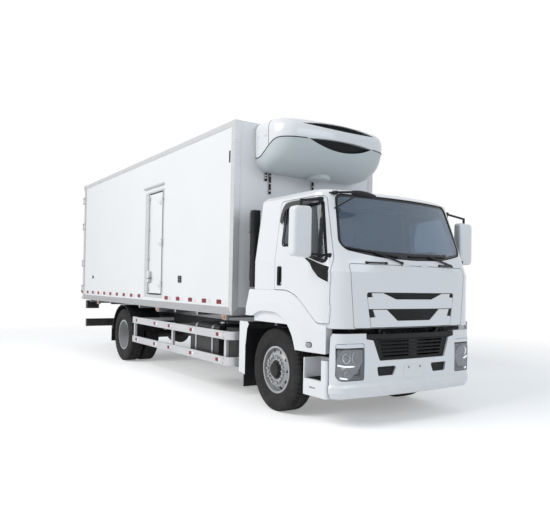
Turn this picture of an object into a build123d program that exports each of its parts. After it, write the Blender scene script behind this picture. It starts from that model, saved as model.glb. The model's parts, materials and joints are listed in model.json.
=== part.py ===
from build123d import *
import os
from math import atan2, cos, degrees, pi, radians, sin, sqrt

# A two-axle cab-over truck with an insulated box and a nose-mounted refrigeration unit.
# Millimetres. +X forward, +Y to the truck's left, +Z up, the ground at Z 0 and the origin under the
# middle of the truck's length. Places along the truck are given from the front axle, forward positive.

# Whole vehicle
wheelbase = 5470
front_overhang = 1290  # front axle to the bumper's nose
box_setback = 890  # front axle back to the box's front wall
box_length = 7350  # front wall to the rear doors' outer skin
rear_hardware = 70  # lock gear behind the rear doors
overall_length = front_overhang + box_setback + box_length + rear_hardware
front_axle_x = overall_length / 2 - front_overhang
rear_axle_x = front_axle_x - wheelbase
running_gap = 6  # between a moving panel and what surrounds it

# Wheels and tyres
tyre_radius = 522
tyre_width = 285
bead_radius = 286
front_track = 2040
twin_track = 1860  # between the middles of the rear pairs
twin_spacing = 320
hub_radius = 118
spindle_radius = 44
spindle_clearance = 0.3
stud_circle = 335 / 2
stud_count = 10
king_pin_inset = 175  # wheel's middle in to the king pin
king_pin_radius = 24
steer_clearance = 0.3

# Ladder frame
rail_outer = 425  # half width over the rails
rail_height = 260
rail_flange = 80
rail_web = 9
frame_top = 985
frame_nose = 1150  # rails' front end, ahead of the front axle

# Cab
cab_floor_z = frame_top + 135
shoulder_z = cab_floor_z + 640
belt_z = shoulder_z + 140
brow_z = belt_z + 790
crown_z = brow_z + 70
cab_back = 500  # rear wall behind the front axle
cab_half = 1200
cab_wall = 65
cab_corner_back = 90
glass_thickness = 6
glass_inset = 10
# height, front, half width, corner radius, bow radius of the front, rear wall's set-back
cab_levels = [
    (cab_floor_z, 1270, cab_half, 290, 8000, cab_back),
    (shoulder_z, 1268, cab_half, 290, 8000, cab_back),
    (belt_z, 1262, cab_half, 300, 4500, cab_back),
    (brow_z, 995, cab_half - 95, 220, 3600, cab_back - 20),
    (brow_z + 45, 925, cab_half - 145, 210, 3300, cab_back - 60),
    (crown_z, 790, cab_half - 250, 190, 3000, cab_back - 150),
]
tilt_hinge_x = 1185
tilt_hinge_z = frame_top + 45
tilt_pin_radius = 22
tilt_pin_clearance = 0.3
door_rear = 40
door_front = 1080
door_top_front = 840
door_top_z = brow_z - 45
flare_high = cab_floor_z + 410  # top of the wheel-arch flare, under the door
flare_low = cab_floor_z + 45  # top of the sill ahead of it
flare_gap = 9
arch_stand = 45  # flare's crease beyond the door skin
arch_front = 1090
arch_rear = 580
sill_z = cab_floor_z - 285
lid_top_z = belt_z - 50
lid_half_top = 965
lid_half_bottom = 905

# Front bumper
bumper_bottom = 340
bumper_top = cab_floor_z - 55
bumper_back = 1105
bumper_half = 1192
bumper_corner = 215
bumper_bow = 9000
bumper_wall = 55
# height and how far the bumper's face lies behind its nose there
bumper_levels = [(bumper_bottom, 34), (405, 4), (465, 0), (500, 14), (760, 10), (bumper_top, 20)]
lamp_inner = 765
lamp_outer = 1121
lamp_low = 540
lamp_high = 955

# Refrigeration unit
unit_depth = 820
unit_half = 970
unit_height = 675
unit_rise = 430  # clear height over the cab's roof
unit_low = crown_z + unit_rise
unit_high = unit_low + unit_height

# Insulated box
box_width = 2580
box_bottom = frame_top + 175  # underside of the floor and of the base rails
box_top = unit_high + 15
wall_thickness = 80
floor_thickness = 115
roof_thickness = 80
trim_thickness = 6
base_rail_height = 110
post_width = 95
cap_width = 80  # roof edge angles
rear_door_thickness = 90
rear_door_seal = 8
rear_frame_depth = 90
side_door_front = 3370  # behind the front axle
side_door_width = 640
side_door_low = box_bottom + 230
side_door_high = box_top - 690
side_door_gap = 13
hinge_radius = 15
hinge_stand = 22  # hinge pins off the skin
hinge_pin = 7
pin_clearance = 0.3
bolted_gap = 0.5  # between members of one frame

# Underbody
guard_half = box_width / 2 - 28
guard_low = 445
guard_high = 925
guard_rail = 118
guard_front = 985
guard_rear = wheelbase - 670
guard_thickness = 28
guard_corner = 130
flap_thickness = 14

box_front_x = front_axle_x - box_setback
box_rear_x = box_front_x - box_length
box_half = box_width / 2
frame_rear_x = box_rear_x + 320
skin_half = box_half - trim_thickness
pieces = []


def finish(part, label):
    """Names a finished piece and keeps it for writing."""
    part.label = label
    pieces.append(part)
    return part


def at(station):
    """Where a place given from the front axle lies along X."""
    return front_axle_x + station


def block(x0, x1, y0, y1, z0, z1, mode=Mode.ADD):
    """A box between two corners."""
    with Locations(((x0 + x1) / 2, (y0 + y1) / 2, (z0 + z1) / 2)):
        Box(abs(x1 - x0), abs(y1 - y0), abs(z1 - z0), mode=mode)


def rod(start, end, radius, mode=Mode.ADD):
    """A round bar between two points."""
    way = Vector(*end) - Vector(*start)
    with BuildSketch(Plane(origin=start, z_dir=way)) as disc:
        Circle(radius)
    extrude(disc.sketch, amount=way.length, mode=mode)


def drawn_face(plane, corners, rounding=0, grow=0, half=False):
    """A flat face with straight edges, from rows of two places and, where it differs, a corner radius.

    A half outline starts and ends on the middle line and is mirrored about it."""
    if half:
        corners = corners + [(-corner[0], *corner[1:]) for corner in reversed(corners[1:-1])]
    with BuildSketch(plane) as drawn:
        with BuildLine():
            Polyline(*[corner[:2] for corner in corners], close=True)
        make_face()
        for corner in corners:
            radius = corner[2] if len(corner) > 2 else rounding
            if radius:
                fillet(drawn.vertices().sort_by_distance((corner[0], corner[1], 0))[0], radius)
        if grow:
            offset(amount=grow)
    return drawn.sketch


def side_face(corners, y, rounding=0, grow=0):
    """A face drawn in side view as (place from the front axle, height, corner radius)."""
    placed = [(at(corner[0]), *corner[1:]) for corner in corners]
    return drawn_face(Plane.XZ.offset(-y), placed, rounding, grow)


def side_sheet(corners, y0, y1, rounding=0, grow=0, mode=Mode.ADD):
    """A plate drawn in side view."""
    extrude(side_face(corners, max(y0, y1), rounding, grow), amount=abs(y1 - y0), mode=mode)


def front_sheet(corners, x0, x1, rounding=0, grow=0, mode=Mode.ADD, half=False):
    """A plate drawn in front view as (Y, height, corner radius)."""
    face = drawn_face(Plane.YZ.offset(min(x0, x1)), corners, rounding, grow, half)
    extrude(face, amount=abs(x1 - x0), mode=mode)


def raised(corners, base):
    """An outline whose heights are counted from a base."""
    return [(corner[0], corner[1] + base, *corner[2:]) for corner in corners]


def arc_strip(plane, centre, inner, outer, start, end):
    """A face between two circles about one centre, from one angle to another."""
    with BuildSketch(plane) as strip_face:
        with BuildLine():
            low = CenterArc(centre, inner, start, end - start)
            high = CenterArc(centre, outer, start, end - start)
            Line(low @ 0, high @ 0)
            Line(low @ 1, high @ 1)
        make_face()
    return strip_face.sketch


def hinge_leaf(points, barrel, pin):
    """The turning half of a hinge: a bored barrel between two points."""
    start, end = points
    rod(start, end, barrel)
    rod(start, end, pin + pin_clearance, Mode.SUBTRACT)


def hinge_post(points, barrel, pin, reach):
    """The fixed half: a pin through the barrel's length, carried by an ear past each end of it."""
    start, end = Vector(*points[0]), Vector(*points[1])
    step = (end - start).normalized()
    rod(tuple(start - step * reach), tuple(end + step * reach), pin)
    rod(tuple(start - step * reach), tuple(start - step * pin_clearance), barrel)
    rod(tuple(end + step * pin_clearance), tuple(end + step * reach), barrel)


def barrel_room(points, radius):
    """Cuts clear room for a hinge's barrel."""
    rod(points[0], points[1], radius, Mode.SUBTRACT)


def ear_room(points, radius, reach):
    """Cuts clear room for the fixed ears past both ends of a barrel."""
    start, end = Vector(*points[0]), Vector(*points[1])
    step = (end - start).normalized()
    rod(tuple(start - step * reach), tuple(start), radius, Mode.SUBTRACT)
    rod(tuple(end), tuple(end + step * reach), radius, Mode.SUBTRACT)


def both_sides(part):
    """A right-hand piece with its mirror image."""
    with BuildPart() as pair:
        add(part)
        mirror(part, about=Plane.XZ)
    return pair.part


def other_side(part):
    """The mirror image of a right-hand piece."""
    with BuildPart() as made:
        mirror(part, about=Plane.XZ)
    return made.part


def plan_section(plane, front, half, corner, bow, rear, rear_corner):
    """A plan outline: bowed front, tangent round corners, straight sides, rounded rear corners."""
    bow_x = front - bow
    corner_x = bow_x + sqrt((bow - corner) ** 2 - (half - corner) ** 2)
    lean = atan2(half - corner, corner_x - bow_x)
    nose = (bow_x + bow * cos(lean), bow * sin(lean))
    middle = (lean + pi / 2) / 2
    waist = (corner_x + corner * cos(middle), half - corner + corner * sin(middle))
    heel = rear_corner * (1 - sqrt(0.5))
    with BuildSketch(plane) as section:
        with BuildLine():
            ThreePointArc((nose[0], -nose[1]), (front, 0), nose)
            ThreePointArc(nose, waist, (corner_x, half))
            Line((corner_x, half), (rear + rear_corner, half))
            ThreePointArc((rear + rear_corner, half), (rear + heel, half - heel), (rear, half - rear_corner))
            Line((rear, half - rear_corner), (rear, rear_corner - half))
            ThreePointArc((rear, rear_corner - half), (rear + heel, heel - half), (rear + rear_corner, -half))
            Line((rear + rear_corner, -half), (corner_x, -half))
            ThreePointArc((corner_x, -half), (waist[0], -waist[1]), (nose[0], -nose[1]))
        make_face()
    return section.sketch


def cab_form(inset, cavity=False):
    """The cab's outer form, or that form drawn in on all sides."""
    sections = []
    for row, (z, front, half, corner, bow, back) in enumerate(cab_levels):
        lift = inset if cavity and row == 0 else 0
        drop = inset if cavity and row == len(cab_levels) - 1 else 0
        sections.append(plan_section(
            Plane.XY.offset(z + lift - drop), at(front) - inset, half - inset, corner - inset, bow - inset,
            at(-back) + inset, cab_corner_back - inset * 0.6,
        ))
    with BuildPart() as made:
        loft(sections, ruled=True)
    return made.part


def cab_skin(near, far):
    """A layer of the cab's form between two depths below its skin."""
    with BuildPart() as made:
        add(cab_form(near))
        add(cab_form(far), mode=Mode.SUBTRACT)
    return made.part


def cab_side_y(station):
    """How far out the door skin lies at a place on the cab's front corner, below the belt."""
    z, front, half, corner, bow, back = cab_levels[1]
    bow_x = front - bow
    corner_x = bow_x + sqrt((bow - corner) ** 2 - (half - corner) ** 2)
    ahead = max(0, station - corner_x)
    return half - corner + sqrt(corner**2 - ahead**2)


# Wheels and tyres

def wheel_plane(x, y):
    return Plane(origin=(x, y, tyre_radius), x_dir=(1, 0, 0), z_dir=(0, 0, 1))


def turned(x, y, profile):
    """A ring turned about an axle from (radius, distance along the axle) points."""
    with BuildSketch(wheel_plane(x, y)) as section:
        with BuildLine():
            Polyline(*profile, close=True)
        make_face()
    revolve(section.sketch, axis=Axis((x, y, tyre_radius), (0, 1, 0)))


rim_half = tyre_width * 0.36
flange_height = 12
flange_thickness = 8
disc_thickness = 14


def tyre_ring(x, y):
    """One tyre: bead, sidewall, shoulder and tread."""
    half = tyre_width / 2
    shoulder = tyre_radius - 24
    wall = [(bead_radius, rim_half), (bead_radius + flange_height + 1, rim_half),
            (bead_radius + 50, half * 0.92), (bead_radius + 120, half), (shoulder, half * 0.86),
            (tyre_radius, half * 0.74)]
    turned(x, y, wall + [(radius, -reach) for radius, reach in reversed(wall)])


def rim_ring(x, y):
    """The rim that carries one tyre."""
    lip = rim_half + flange_thickness
    top = bead_radius + flange_height
    edge = [(bead_radius - 14, lip), (top, lip), (top, rim_half), (bead_radius, rim_half)]
    turned(x, y, edge + [(radius, -reach) for radius, reach in reversed(edge)])


def wheel_disc(x, y, out, hub_y, rim_y):
    """The disc from the hub face to the rim, out being the direction its face looks."""
    face = [(hub_radius, hub_y), (hub_radius + 92, hub_y), (bead_radius - 14, rim_y)]
    back = [(radius, reach - out * disc_thickness) for radius, reach in reversed(face)]
    turned(x, y, face + back)


def wheel_studs(x, y, side, face_y, hole_radius):
    """Nuts on the hub face and hand holes through the disc."""
    with Locations(Plane(origin=(x, y + face_y, tyre_radius), z_dir=(0, side, 0))):
        with PolarLocations(stud_circle, stud_count):
            Cylinder(15, 26, align=(Align.CENTER, Align.CENTER, Align.MIN))
        hole_circle = (hub_radius + 92 + bead_radius - 14) / 2
        with PolarLocations(hole_circle, stud_count, start_angle=180 / stud_count):
            Cylinder(hole_radius, 150, mode=Mode.SUBTRACT)


def front_wheel(side):
    """Disc wheel, hub and brake drum in one, on the right (side -1) or left (side 1)."""
    x, y = front_axle_x, side * front_track / 2
    bore = spindle_radius + spindle_clearance
    face = rim_half
    with BuildPart() as made:
        rim_ring(x, y)
        wheel_disc(x, y, side, side * face, side * (face - 50))
        wheel_studs(x, y, side, side * face, 24)
        turned(x, y, [(bore, side * -70), (205, side * -70), (205, side * 30), (hub_radius + 2, side * 42),
                      (hub_radius + 2, side * face), (96, side * (face + 8)), (86, side * (face + 38)),
                      (0, side * (face + 42)), (0, side * 62), (bore, side * 62)])
    return made.part


def rear_wheels(side):
    """Twin disc wheels with the hub between them."""
    x, y = rear_axle_x, side * twin_track / 2
    bore = spindle_radius + spindle_clearance
    reach = twin_spacing / 2
    with BuildPart() as made:
        rim_ring(x, y + reach)
        rim_ring(x, y - reach)
        wheel_disc(x, y, side, side * disc_thickness, side * (reach - rim_half + 24))
        wheel_studs(x, y, side, side * disc_thickness, 22)
        wheel_disc(x, y, -side, side * -disc_thickness, side * -(reach - rim_half + 24))
        turned(x, y, [(bore, side * -200), (205, side * -200), (205, side * -40),
                      (hub_radius + 2, side * -40), (hub_radius + 2, side * disc_thickness),
                      (100, side * 60), (92, side * 128),
                      (0, side * 134), (0, side * 90), (bore, side * 90)])
    return made.part


for side, hand in ((-1, "right"), (1, "left")):
    finish(front_wheel(side), f"front_wheel_{hand}")
    with BuildPart() as tyre:
        tyre_ring(front_axle_x, side * front_track / 2)
    finish(tyre.part, f"front_tyre_{hand}")
    finish(rear_wheels(side), f"rear_wheels_{hand}")
    with BuildPart() as tyres:
        for shift in (-1, 1):
            tyre_ring(rear_axle_x, side * twin_track / 2 + shift * twin_spacing / 2)
    finish(tyres.part, f"rear_tyres_{hand}")

# Axles and steering knuckles
king_pin_y = front_track / 2 - king_pin_inset
eye_radius = 55
eye_half = 58
fork_gap = 7
fork_plate = 30
beam_half = 50
beam_drop = king_pin_y - 225
beam_top = tyre_radius + 18
beam_bottom = tyre_radius - 97
beam_end_top = tyre_radius + 48
beam_end_low = tyre_radius - 48

with BuildPart() as front_axle:
    front_sheet(
        [(0, beam_top), (beam_drop, beam_top, 60), (king_pin_y - 120, beam_end_top, 60),
         (king_pin_y, beam_end_top), (king_pin_y, beam_end_low), (king_pin_y - 120, beam_end_low, 60),
         (beam_drop - 20, beam_bottom, 60), (0, beam_bottom)],
        at(-beam_half), at(beam_half), half=True,
    )
    with Locations((front_axle_x, -king_pin_y, tyre_radius), (front_axle_x, king_pin_y, tyre_radius)):
        Cylinder(eye_radius, 2 * eye_half)
        Cylinder(king_pin_radius + steer_clearance, 3 * eye_half, mode=Mode.SUBTRACT)
finish(front_axle.part, "front_axle")

fork_half = eye_half + fork_gap + fork_plate
with BuildPart() as knuckle:
    inner = -king_pin_y + eye_radius
    outer = -king_pin_y - eye_radius - fork_gap - fork_plate
    for low, high in ((eye_half + fork_gap, fork_half), (-fork_half, -eye_half - fork_gap)):
        block(at(-beam_half), at(beam_half), outer, inner, tyre_radius + low, tyre_radius + high)
    block(at(-beam_half), at(beam_half), outer, outer + fork_plate, tyre_radius - fork_half,
          tyre_radius + fork_half)
    with Locations((front_axle_x, -king_pin_y, tyre_radius)):
        Cylinder(king_pin_radius, 2 * fork_half)
    rod((front_axle_x, outer + fork_plate, tyre_radius), (front_axle_x, -front_track / 2 - 55, tyre_radius),
        spindle_radius)
    rod((front_axle_x, outer, tyre_radius), (front_axle_x, outer - 6, tyre_radius), 190)
    block(at(-230), at(-beam_half + 4), inner - 60, inner - 14, tyre_radius - fork_half,
          tyre_radius - fork_half + 24)
finish(knuckle.part, "knuckle_right")
finish(other_side(knuckle.part), "knuckle_left")

axle_tube = 78
with BuildPart() as rear_axle:
    hub_start = twin_track / 2 - 208
    rod((rear_axle_x, -hub_start, tyre_radius), (rear_axle_x, hub_start, tyre_radius), axle_tube)
    rod((rear_axle_x, -twin_track / 2 - 84, tyre_radius), (rear_axle_x, twin_track / 2 + 84, tyre_radius),
        spindle_radius)
    rod((rear_axle_x - 170, 0, tyre_radius), (rear_axle_x + 150, 0, tyre_radius), 190)
    rod((rear_axle_x + 150, 0, tyre_radius + 30), (rear_axle_x + 330, 0, tyre_radius + 30), 95)
finish(rear_axle.part, "rear_axle")

def bumper_form(inset):
    """The bumper's solid form from its lip to its top, drawn in by a margin."""
    sections = []
    for z, behind in bumper_levels:
        margin = behind + inset
        sections.append(plan_section(
            Plane.XY.offset(z), at(front_overhang) - margin, bumper_half - margin, bumper_corner - margin,
            bumper_bow - margin, at(600), 4,
        ))
    with BuildPart() as made:
        loft(sections, ruled=True)
        block(at(500), at(bumper_back), -bumper_half, bumper_half, bumper_bottom, bumper_top, Mode.SUBTRACT)
    return made.part


# Ladder frame with the cab's tilt brackets, bumper arms and the towing jaw
rail_bottom = frame_top - rail_height
rail_inner = rail_outer - rail_web
lip_inner = rail_outer - rail_flange
cross_front = at(1060)
cross_first = at(-1300)
cross_last = frame_rear_x + 700
cross_count = 6
cross_places = [cross_front] + [cross_first + (cross_last - cross_first) * n / (cross_count - 1)
                                for n in range(cross_count)]
jaw_bore = 25
jaw_z = frame_top - 125
with BuildPart() as bumper_arms:
    for side in (-1, 1):
        block(at(bumper_back), at(front_overhang), side * lip_inner, side * rail_outer, 610, 745)
    add(bumper_form(bumper_wall), mode=Mode.INTERSECT)
with BuildPart() as chassis:
    add(bumper_arms.part)
    for side in (-1, 1):
        front_sheet(
            [(side * rail_outer, rail_bottom), (side * lip_inner, rail_bottom),
             (side * lip_inner, rail_bottom + rail_web), (side * rail_inner, rail_bottom + rail_web),
             (side * rail_inner, frame_top - rail_web), (side * lip_inner, frame_top - rail_web),
             (side * lip_inner, frame_top), (side * rail_outer, frame_top)],
            frame_rear_x, at(frame_nose),
        )
        side_sheet([(850, rail_bottom), (1000, 610), (bumper_back + 20, 610), (bumper_back + 20, 745),
                    (1060, 745), (1060, rail_bottom + rail_web), (850, rail_bottom + rail_web)],
                   side * lip_inner, side * rail_outer)
        side_sheet(
            [(930, rail_bottom + 20), (frame_nose, rail_bottom + 20), (frame_nose + 15, tilt_hinge_z - 50),
             (tilt_hinge_x + 32, tilt_hinge_z - 8), (tilt_hinge_x + 32, tilt_hinge_z + 42),
             (tilt_hinge_x - 42, tilt_hinge_z + 42),
             (tilt_hinge_x - 70, frame_top), (930, frame_top - 60)],
            side * rail_outer, side * (rail_outer + 36),
        )
        rod((at(tilt_hinge_x), side * (rail_outer - 10), tilt_hinge_z),
            (at(tilt_hinge_x), side * (rail_outer + 60), tilt_hinge_z),
            tilt_pin_radius + tilt_pin_clearance, Mode.SUBTRACT)
    for x in cross_places:
        block(x - 35, x + 35, -rail_inner, rail_inner, frame_top - 190, frame_top - rail_web)
    block(frame_rear_x, frame_rear_x + 12, -rail_inner, rail_inner, rail_bottom + rail_web,
          frame_top - rail_web)
    block(frame_rear_x - 130, frame_rear_x, -70, 70, jaw_z + 35, jaw_z + 60)
    block(frame_rear_x - 130, frame_rear_x, -70, 70, jaw_z - 60, jaw_z - 35)
    rod((frame_rear_x - 80, 0, jaw_z - 100), (frame_rear_x - 80, 0, jaw_z + 100), jaw_bore, Mode.SUBTRACT)
finish(chassis.part, "chassis_frame")

# Springs with their hangers
spring_y = lip_inner + 2
spring_width = 72
leaf_thickness = 18
leaf_step = 0.2  # share of the span by which each lower leaf is shorter
hanger_low = rail_bottom - 55
axle_top = tyre_radius + axle_tube
# axle's place, half span between eyes, top of the main leaf at the eyes and at the axle, leaves, seat's foot
spring_set = [
    (0, 800, rail_bottom - 25, rail_bottom - 85, 4, beam_top),
    (-wheelbase, 860, rail_bottom - 13, rail_bottom - 23, 4, axle_top),
]
with BuildPart() as springs:
    for station, eye, eye_z, low_z, leaves, foot in spring_set:
        rise = eye_z - low_z
        bend = (eye**2 + rise**2) / (2 * rise)
        for leaf in range(leaves):
            turn = degrees(eye * (1 - leaf_step * leaf) / bend)
            inner = bend + leaf * leaf_thickness
            strip = arc_strip(Plane.XZ.offset(spring_y), (at(station), low_z + bend), inner,
                              inner + leaf_thickness, 270 - turn, 270 + turn)
            extrude(strip, amount=spring_width)
        block(at(station - 90), at(station + 90), -spring_y, -spring_y - spring_width, foot,
              low_z - leaves * leaf_thickness + 6)
        for end in (-1, 1):
            near, far = station + end * (eye - 40), station + end * (eye + 30)
            block(at(near), at(far), -spring_y, -spring_y - spring_width, hanger_low, rail_bottom)
finish(both_sides(springs.part), "leaf_springs")

# Engine, gearbox, radiator and propeller shaft, as plain blocks
engine_low = frame_top - 385
engine_top = frame_top + 100
mount_low = frame_top - 185
with BuildPart() as powertrain:
    block(at(-420), at(780), -310, 310, engine_low, engine_top)
    block(at(-1020), at(-420), -200, 200, engine_low, frame_top - 85)
    block(at(880), at(960), -335, 335, engine_low + 40, engine_top)
    for near, far in ((-330, -230), (450, 550), (890, 950)):
        block(at(near), at(far), -rail_inner, rail_inner, mount_low, mount_low + 50)
    rod((at(-1000), 0, engine_low + 115), (rear_axle_x + 345, 0, tyre_radius + 32), 48)
    rod((rear_axle_x + 330, 0, tyre_radius + 30), (rear_axle_x + 352, 0, tyre_radius + 30), 80)
finish(powertrain.part, "powertrain")

# Tanks and boxes on the rails
tank_in = rail_outer + 18
tank_out = guard_half - 112
tank_top = frame_top - 5
bracket_high = frame_top - 35
bracket_low = frame_top - 225
with BuildPart() as fuel_tank:
    block(at(-2450), at(-1500), -tank_in, -tank_out, 450, tank_top)
    fillet(fuel_tank.edges().filter_by(Axis.X), 60)
    rod((at(-1620), -tank_out + 150, tank_top), (at(-1620), -tank_out + 150, tank_top + 32), 48)
    for station in (-2250, -1700):
        block(at(station - 30), at(station + 30), -rail_outer, -tank_in, bracket_low, bracket_high)
finish(fuel_tank.part, "fuel_tank")

with BuildPart() as silencer:
    block(at(-1440), at(-1040), -tank_in, -tank_out + 70, 420, frame_top - 25)
    fillet(silencer.edges().filter_by(Axis.Z), 70)
    block(at(-1310), at(-1170), -rail_outer, -tank_in, bracket_low, bracket_high)
finish(silencer.part, "silencer")

with BuildPart() as battery_box:
    block(at(-1750), at(-1050), tank_in, tank_out - 30, 480, bracket_high)
    fillet(battery_box.edges().filter_by(Axis.X), 40)
    block(at(-1600), at(-1200), rail_outer, tank_in, bracket_low, bracket_high - 10)
finish(battery_box.part, "battery_box")

air_tank_y = 640
air_tank_radius = 118
air_tank_dome = 60
air_tank_straps = [-2700, -2150]
with BuildPart() as air_tanks:
    for z in (600, 860):
        rod((at(-2900), air_tank_y, z), (at(-1900), air_tank_y, z), air_tank_radius)
    fillet(air_tanks.edges().filter_by(GeomType.CIRCLE), air_tank_dome)
    for station in air_tank_straps:
        block(at(station - 25), at(station + 25), rail_outer, rail_outer + 20, 560, bracket_high)
        for z in (600, 860):
            block(at(station - 25), at(station + 25), rail_outer, air_tank_y - 100, z - 40, z + 40)
finish(air_tanks.part, "air_tanks")

# Side guards
with BuildPart() as guard:
    front, rear = at(-guard_front), at(-guard_rear)
    face, back = -guard_half, -guard_half + guard_thickness
    turn = guard_corner
    for z in (guard_low, guard_high - guard_rail):
        with BuildSketch(Plane.XY.offset(z)) as strip:
            with BuildLine():
                Line((rear, face), (front - turn, face))
                RadiusArc((front - turn, face), (front, face + turn), -turn)
                Line((front, face + turn), (front, face + 2 * turn))
                Line((front, face + 2 * turn), (front - guard_thickness, face + 2 * turn))
                Line((front - guard_thickness, face + 2 * turn), (front - guard_thickness, face + turn))
                RadiusArc((front - guard_thickness, face + turn), (front - turn, back),
                          turn - guard_thickness)
                Line((front - turn, back), (rear, back))
                Line((rear, back), (rear, face))
            make_face()
        extrude(strip.sketch, amount=guard_rail)
    for station in (-guard_rear + 30, -2990, -1150):
        block(at(station - 30), at(station + 30), back, back + 40, guard_low, guard_high)
    for station in (-guard_rear + 30, -2990):
        block(at(station - 30), at(station + 30), back + 40, -rail_outer, 840, 900)
finish(both_sides(guard.part), "side_guards")

# Mudguards
flap_front = -640
with BuildPart() as front_mudguard:
    side_sheet([(flap_front, 380), (flap_front, 760), (-600, 1000), (-560, 1060), (-590, 1095), (-800, 1095),
                (-800, 400)], -1205, -780)
    block(at(flap_front - 40), at(flap_front - 40 + flap_thickness), -1200, -790, 210, 420)
    rod((at(-720), -780, 900), (at(-720), -rail_outer, 900), 22)
finish(both_sides(front_mudguard.part), "front_mudguards")

wing_radius = tyre_radius + 68
wing_start = 12
wing_end = 168
wing_inner = twin_track / 2 - twin_spacing / 2 - tyre_width / 2 - 7.5
wing_outer = twin_track / 2 + twin_spacing / 2 + tyre_width / 2 + 2.5
flap_x = rear_axle_x - 660
stay_x = 420
stay_z = tyre_radius + sqrt(wing_radius**2 - stay_x**2) + flap_thickness / 2
with BuildPart() as rear_mudguard:
    extrude(arc_strip(Plane.XZ.offset(wing_inner), (rear_axle_x, tyre_radius), wing_radius,
                      wing_radius + flap_thickness, wing_start, wing_end), amount=wing_outer - wing_inner)
    block(flap_x, flap_x + 90, -wing_outer, -wing_inner, 600, 660)
    block(flap_x, flap_x + flap_thickness, -wing_outer, -wing_inner, 340, 660)
    for x in (rear_axle_x - stay_x, rear_axle_x + stay_x):
        rod((x, -wing_inner, stay_z), (x, -rail_outer, stay_z), 20)
finish(both_sides(rear_mudguard.part), "rear_mudguards")

# Rear underrun bar with the tail lamps
bar_x = box_rear_x + 90
bar_half = box_half - 80
with BuildPart() as rear_bar:
    block(bar_x, bar_x + 100, -bar_half, bar_half, 510, 690)
    fillet(rear_bar.edges().filter_by(Axis.Y), 22)
    for side in (-1, 1):
        block(bar_x + 100 + bolted_gap, bar_x + 330, side * lip_inner, side * rail_outer, 560, rail_bottom)
        block(bar_x - 50, bar_x + 80, side * (bar_half - 290), side * (bar_half - 10), box_bottom - 220,
              box_bottom - 30)
        block(bar_x + 10, bar_x + 60, side * (bar_half - 210), side * (bar_half - 150), box_bottom - 30,
              box_bottom)
finish(rear_bar.part, "rear_bumper")

# Front bumper, lower grille and headlamps
mouth_low = 750
band_low = bumper_top - 65
band_half = 740
mouth_top = bumper_top + 60
mouth = [(0, mouth_low), (548, mouth_low, 24), (640, band_low - 15, 20), (band_half, band_low, 10),
         (band_half, mouth_top), (0, mouth_top)]
fog_pocket = [(-585, 683), (-285, 683), (-335, 576), (-562, 574)]
fog_corner = 20
lamp_outline = [(-lamp_outer, lamp_low, 75), (-lamp_outer, lamp_high, 30), (-lamp_inner, lamp_high, 30),
                (-lamp_inner, lamp_low, 25)]
corner_cut = [(-1090, mouth_top), (-1250, mouth_top), (-1250, 940), (-1175, 985)]
lamp_room = at(1000)
lamp_front = at(1400)
lamp_inset = 12
grille_inset = 24
grille_depth = 26
band_inset = 8
with BuildPart() as fog_prism:
    front_sheet(fog_pocket, lamp_room, lamp_front, fog_corner)
fog_prisms = both_sides(fog_prism.part)
with BuildPart() as lamp_prism:
    front_sheet(lamp_outline, lamp_room, lamp_front)
with BuildPart() as corner_prism:
    front_sheet(corner_cut, lamp_room, lamp_front)
with BuildPart() as bumper:
    add(bumper_form(0))
    add(bumper_form(bumper_wall), mode=Mode.SUBTRACT)
    front_sheet(mouth, lamp_room, lamp_front, mode=Mode.SUBTRACT, half=True)
    for prisms in (fog_prisms, both_sides(lamp_prism.part), both_sides(corner_prism.part)):
        add(prisms, mode=Mode.SUBTRACT)
finish(bumper.part, "front_bumper")

slot_pitch = 42
slot_height = 20
slot_inner = 70
slot_outer = 480
with BuildPart() as grille_band:
    front_sheet([(0, band_low), (band_half - 4, band_low, 12), (band_half - 4, bumper_top - 12, 8),
                 (0, bumper_top - 12)], lamp_room, lamp_front, half=True)
    add(bumper_form(band_inset), mode=Mode.INTERSECT)
    add(bumper_form(grille_inset + 8), mode=Mode.SUBTRACT)
with BuildPart() as lower_grille:
    front_sheet(mouth, lamp_room, lamp_front, half=True)
    add(fog_prisms)
    add(bumper_form(grille_inset), mode=Mode.INTERSECT)
    add(bumper_form(grille_inset + grille_depth), mode=Mode.SUBTRACT)
    for row in range(5):
        low = mouth_low + 36 + row * slot_pitch
        for side in (-1, 1):
            block(lamp_room, lamp_front, side * slot_inner, side * (slot_outer + row * 12), low,
                  low + slot_height, Mode.SUBTRACT)
    block(lamp_room, lamp_front, -bumper_half, bumper_half, band_low + 8, mouth_top, Mode.SUBTRACT)
    add(grille_band.part)
finish(lower_grille.part, "lower_grille")

with BuildPart() as lamp:
    add(lamp_prism.part)
    add(bumper_form(lamp_inset), mode=Mode.INTERSECT)
    add(bumper_form(bumper_wall), mode=Mode.SUBTRACT)
finish(both_sides(lamp.part), "headlamps")

# Entry steps under the cab doors
step_rear = 655
step_front = 1090
step_low = 335
step_high = 760
step_tread = 525
step_back = 955
step_wall = 37
step_pillar = 85
step_slot = 16
with BuildPart() as step_box:
    block(at(step_rear), at(step_front), -bumper_half - 3, -880, step_low, step_high)
    fillet(step_box.edges().filter_by(Axis.Z), 26)
    block(at(step_rear + step_wall), at(step_front - step_pillar), -bumper_half - 100, -step_back, step_tread,
          step_high + 40, Mode.SUBTRACT)
    block(at(step_rear + 135), at(step_front - 190), -bumper_half - 100, -bumper_half + 12, step_tread - 100,
          step_tread - 100 + step_slot, Mode.SUBTRACT)
    block(at(step_rear + 125), at(step_rear + 245), -880, -rail_outer, step_high - 25, step_high - 10)
finish(both_sides(step_box.part), "cab_steps")

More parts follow.
